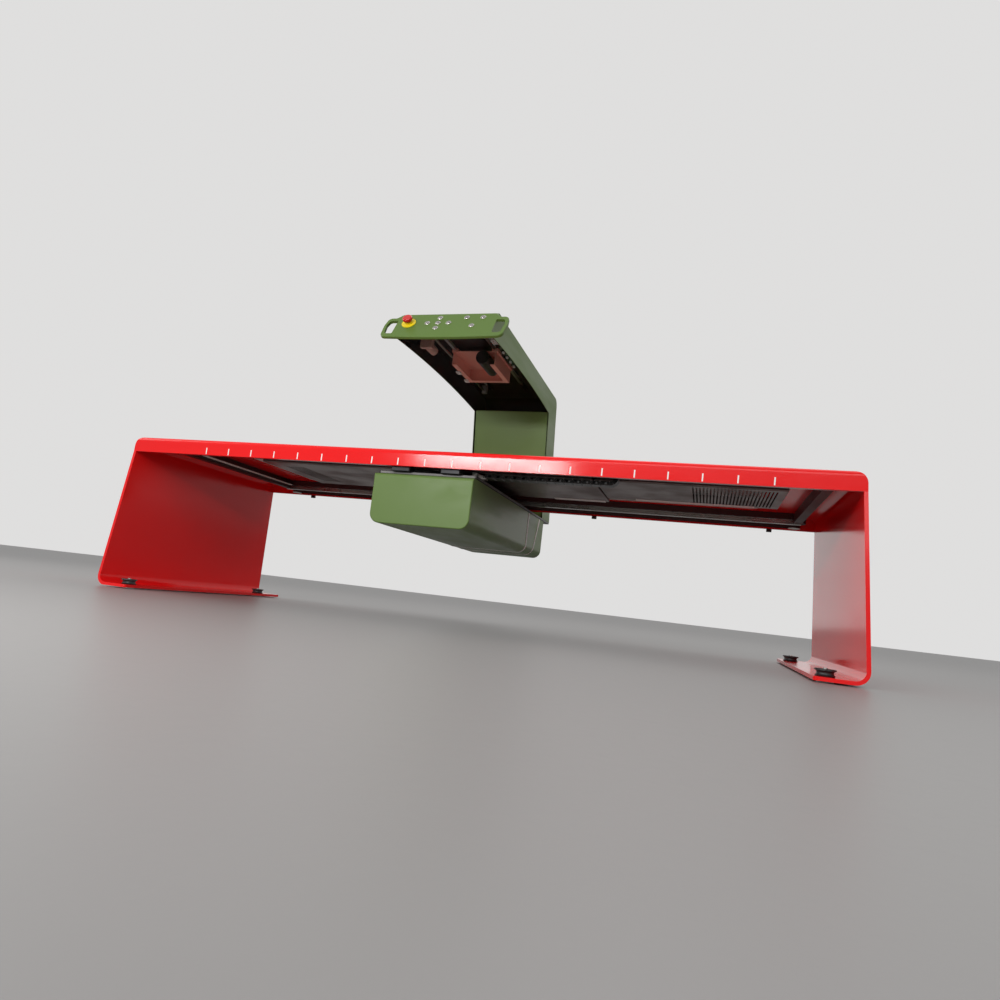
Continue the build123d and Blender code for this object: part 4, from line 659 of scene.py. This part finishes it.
class DENSITOMETER_OT_plugs(bpy.types.Operator):
    """Model the white plug housings in the arm"""

    bl_idname = "densitometer.plugs"
    bl_label = "Plugs"

    def execute(self, context):
        white = moulded("Plug White", finish().plug_white, 0.45, scuffs=0.1, grain=1200.0)
        pitch = fittings().plug_pitch
        low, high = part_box("detector_board")
        middle = (low[0] + high[0]) / 2
        first = (middle - 0.004, low[1] + 0.02, low[2] - 0.006)
        one = plug("board_plug", first, (middle + 0.004, low[1] + 0.034, low[2] - 0.0002))
        others = [(first[0], first[1] + step * pitch, first[2]) for step in (1, 2, 3)]
        row = joined("board_plugs", copy_to(one, first, others))
        finish_piece(row, white, "carriage")
        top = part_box("arm_shell")[1][2] - 0.0032
        block = plug("arm_terminal", (0.04, -0.292, top - 0.018), (0.074, -0.25, top))
        finish_piece(block, white, "carriage")
        low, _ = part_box("detector_bracket")
        first = (low[0] + 0.021, low[1] + 0.07, low[2] - 0.0065)
        one = plug("bracket_plug", first, (low[0] + 0.038, low[1] + 0.096, low[2] - 0.0002))
        other = (first[0], first[1] + 2 * pitch, first[2])
        pair = joined("bracket_plugs", copy_to(one, first, [other]))
        finish_piece(pair, white, "detector_head")
        return {"FINISHED"}


class DENSITOMETER_OT_ridged_strips(bpy.types.Operator):
    """Model the pale ridged strip beside the left cross bar of the rail frame"""

    bl_idname = "densitometer.ridged_strips"
    bl_label = "Ridged strip"

    def execute(self, context):
        s = fittings()
        low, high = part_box("rail_frame")
        left, near, top = low[0] + 0.0301, low[1] + s.strip_margin, low[2] + 0.015
        strip = start_block(
            "ridged_strips", (left, near, top - 0.0014),
            (left + s.strip_width, near + s.ridge_pitch, top - 0.0001),
        )
        pick(strip, "FACE", lambda face: face.normal.z < -0.9)
        bpy.ops.mesh.inset(thickness=0.0014)
        extrude_up(-s.ridge_rise)
        bpy.ops.object.mode_set(mode="OBJECT")
        ridges = strip.modifiers.new("Ridges", "ARRAY")
        ridges.use_relative_offset = False
        ridges.use_constant_offset = True
        ridges.constant_offset_displace = (0.0, s.ridge_pitch, 0.0)
        ridges.count = int((high[1] - low[1] - 2 * s.strip_margin) / s.ridge_pitch)
        ridges.use_merge_vertices = True
        ridges.merge_threshold = 0.00002
        bpy.ops.object.modifier_apply(modifier=ridges.name)
        pale = painted("Ridged Pale", finish().trim_pale, 0.4, dust=0.0)
        finish_piece(strip, pale, "table")
        return {"FINISHED"}


class DENSITOMETER_OT_pan_highlights(bpy.types.Operator):
    """Model pale strips under the rear bends of the two pans: painted highlight on those bends"""

    bl_idname = "densitometer.pan_trims"
    bl_label = "Pan trims"

    def execute(self, context):
        s = fittings()
        made = []
        for pan, start, end in (
            ("belly_pan_left", 0.286, 0.489), ("belly_pan_right", 0.614, 1.026)
        ):
            low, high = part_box(pan)
            rear = high[1] - s.trim_edge
            highlight_strip = start_block(
                "trim_" + pan, (start, rear - s.trim_width, low[2] - 0.0014),
                (end, rear, low[2] - 0.0001),
            )
            pick(highlight_strip, "FACE", lambda face: face.normal.z < -0.9)
            bpy.ops.mesh.inset(thickness=0.002)
            extrude_up(0.0006)
            soften(highlight_strip, EDGE)
            made.append(highlight_strip)
        # The pale strips are painted highlight on the pans' rear bends.
        pale = painted("Trim Pale", finish().trim_pale, 0.4, dust=0.0)
        finish_piece(joined("pan_trims", made), pale, "table")
        return {"FINISHED"}


class DENSITOMETER_OT_seam_bands(bpy.types.Operator):
    """Model the two pale bands that stand out over the rear seams of the source box"""

    bl_idname = "densitometer.seam_bands"
    bl_label = "Seam bands"

    def execute(self, context):
        s = fittings()
        low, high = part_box("middle_cover")
        proud, half, top = s.band_proud, s.band_width / 2, high[2] + 0.002
        made = []
        for name, seam, lean in (("upright", 0.2035, 0.0), ("leaning", 0.318, 0.4686)):
            band = start_block(
                "band_" + name, (low[0] - proud, seam - half, low[2] - proud),
                (high[0] + proud, seam + half, top),
            )
            pick(band, "FACE", lambda face: face.normal.z > 0.9)
            bpy.ops.transform.translate(value=(0.0, lean * (top - low[2]), 0.0))
            pick(band, "EDGE", lambda edge: all(v.co.z < low[2] for v in edge.verts)
                 and abs(edge.verts[0].co.x - edge.verts[1].co.x) < 0.001)
            bpy.ops.mesh.bevel(offset=s.band_corner + proud, segments=7, affect="EDGES")
            pick(band, "FACE", lambda face: abs(face.normal.y) > 0.8)
            bpy.ops.mesh.inset(thickness=proud + 0.0001)
            bpy.ops.mesh.bridge_edge_loops()
            bpy.ops.mesh.select_all(action="SELECT")
            bpy.ops.mesh.bisect(
                plane_co=(0.0, 0.0, high[2] - 0.001), plane_no=(0.0, 0.0, 1.0),
                use_fill=True, clear_outer=True,
            )
            soften(band, EDGE)
            made.append(band)
        pale = painted("Seam Pale", finish().seam_pale, 0.35, dust=0.0)
        finish_piece(joined("seam_bands", made), pale, "carriage")
        return {"FINISHED"}


class DENSITOMETER_OT_nose_lip(bpy.types.Operator):
    """Model the lip that closes the arm between its top and the control plate"""

    bl_idname = "densitometer.nose_lip"
    bl_label = "Nose lip"

    def execute(self, context):
        low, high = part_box("arm_cover")
        front, rear, rise = -0.487, -0.4786, 0.0056
        lip = start_block(
            "nose_lip", (low[0] - 0.0003, front, 1.093), (high[0] + 0.0003, rear, 1.0966)
        )
        pick(lip, "FACE", lambda face: face.normal.y > 0.9)
        bpy.ops.transform.translate(value=(0.0, 0.0, rise))
        pick(lip, "FACE", lambda face: face.normal.z < -0.5)
        bpy.ops.mesh.inset(thickness=0.0022)
        extrude_up(-fittings().lip_drop)
        soften(lip, EDGE)
        finish_piece(lip, bpy.data.materials["Scanner Green"], "carriage")
        return {"FINISHED"}


# Floor, light and camera


def area_lamp(name, place, aim, size, power):
    """Large soft lamp turned towards a point."""
    bpy.ops.object.light_add(type="AREA", location=place)
    lamp = bpy.context.object
    lamp.name = name
    lamp.data.shape = "RECTANGLE"
    lamp.data.size, lamp.data.size_y = size
    lamp.data.energy = power
    lamp.rotation_euler = (Vector(aim) - Vector(place)).to_track_quat("-Z", "Y").to_euler()


def camera_mask(tree):
    """1 where a ray comes from the camera, a mirror or glass, 0 where it lights something."""
    rays = tree.nodes.new("ShaderNodeLightPath").outputs
    seen = calc(tree, "MAXIMUM", rays["Is Camera Ray"], rays["Is Glossy Ray"])
    return calc(tree, "MAXIMUM", seen, rays["Is Transmission Ray"])


class DENSITOMETER_OT_stage(bpy.types.Operator):
    """Lay the floor, hang the lamps and set the camera"""

    bl_idname = "densitometer.stage"
    bl_label = "Stage"

    def execute(self, context):
        s = context.scene.densitometer_stage
        bpy.ops.object.select_all(action="DESELECT")
        bpy.ops.mesh.primitive_plane_add(size=60.0, location=(0.0, 0.0, 0.0))
        floor = context.object
        floor.name = "floor"
        floor.data.materials.append(
            surface("Floor", "Moulded Grain", s.floor_tone,
                    {"Roughness": 0.42, "Scuffs": 0.03, "Grain": 60.0}, 0.0001)
        )
        world = bpy.data.worlds.new("Studio")
        world.use_nodes = True
        tree = world.node_tree
        even = tree.nodes["Background"]
        even.inputs["Color"].default_value = (0.9, 0.92, 0.95, 1.0)
        even.inputs["Strength"].default_value = s.room_light
        shown = add_node(
            tree, "ShaderNodeBackground", {"Color": (*s.wall_tone, 1.0), "Strength": 1.0}
        )
        blend = add_node(
            tree, "ShaderNodeMixShader",
            {0: camera_mask(tree), 1: even.outputs[0], 2: shown.outputs[0]},
        )
        tree.links.new(blend.outputs[0], tree.nodes["World Output"].inputs["Surface"])
        context.scene.world = world
        for name, place, aim, size, power in (
            ("front_lamp", (0.6, -4.6, 2.6), (0.0, 0.0, 0.6), (3.4, 2.0), s.key_power),
            ("left_lamp", (-4.2, -1.5, 2.4), (0.0, 0.0, 0.5), (2.6, 2.0), s.fill_power),
            ("top_lamp", (0.8, 1.0, 4.2), (0.0, 0.2, 0.6), (4.0, 3.0), s.top_power),
            ("streak_lamp", (-0.6, -2.89, 1.078), (0.1, -0.55, 0.572), (1.0, 0.1), s.streak_power),
        ):
            area_lamp(name, place, aim, size, power)
        bpy.ops.object.camera_add(location=s.camera_place, rotation=s.camera_turn)
        camera = context.object
        camera.data.lens = s.camera_lens
        camera.data.sensor_width = 36.0
        camera.data.shift_x, camera.data.shift_y = s.camera_shift
        camera.data.clip_start = 0.02
        context.scene.camera = camera
        context.scene.view_settings.view_transform = "Standard"
        return {"FINISHED"}


class DENSITOMETER_PT_panel(bpy.types.Panel):
    """Steps and settings of the densitometer"""

    bl_idname = "DENSITOMETER_PT_panel"
    bl_label = "Densitometer"
    bl_space_type = "VIEW_3D"
    bl_region_type = "UI"
    bl_category = "Densitometer"

    def draw(self, context):
        for step in STEPS:
            self.layout.operator(step.bl_idname)
        for group in (finish(), fittings(), context.scene.densitometer_stage):
            for name in group.bl_rna.properties.keys():
                if name not in {"rna_type", "name"}:
                    self.layout.prop(group, name)


STEPS = (
    DENSITOMETER_OT_table,
    DENSITOMETER_OT_underside,
    DENSITOMETER_OT_scanner,
    DENSITOMETER_OT_controls,
    DENSITOMETER_OT_inside,
    DENSITOMETER_OT_plugs,
    DENSITOMETER_OT_ridged_strips,
    DENSITOMETER_OT_pan_highlights,
    DENSITOMETER_OT_seam_bands,
    DENSITOMETER_OT_nose_lip,
    DENSITOMETER_OT_stage,
)
GROUPS = {
    "densitometer_finish": DENSITOMETER_PG_finish,
    "densitometer_fittings": DENSITOMETER_PG_fittings,
    "densitometer_stage": DENSITOMETER_PG_stage,
}
CLASSES = (*GROUPS.values(), *STEPS, DENSITOMETER_PT_panel)


def register():
    for item in CLASSES:
        bpy.utils.register_class(item)
    for name, group in GROUPS.items():
        setattr(bpy.types.Scene, name, bpy.props.PointerProperty(type=group))


def unregister():
    for name in GROUPS:
        delattr(bpy.types.Scene, name)
    for item in reversed(CLASSES):
        bpy.utils.unregister_class(item)


def main():
    """Run every step."""
    register()
    for step in STEPS:
        area, name = step.bl_idname.split(".")
        getattr(getattr(bpy.ops, area), name)()


if __name__ == "__main__":
    main()
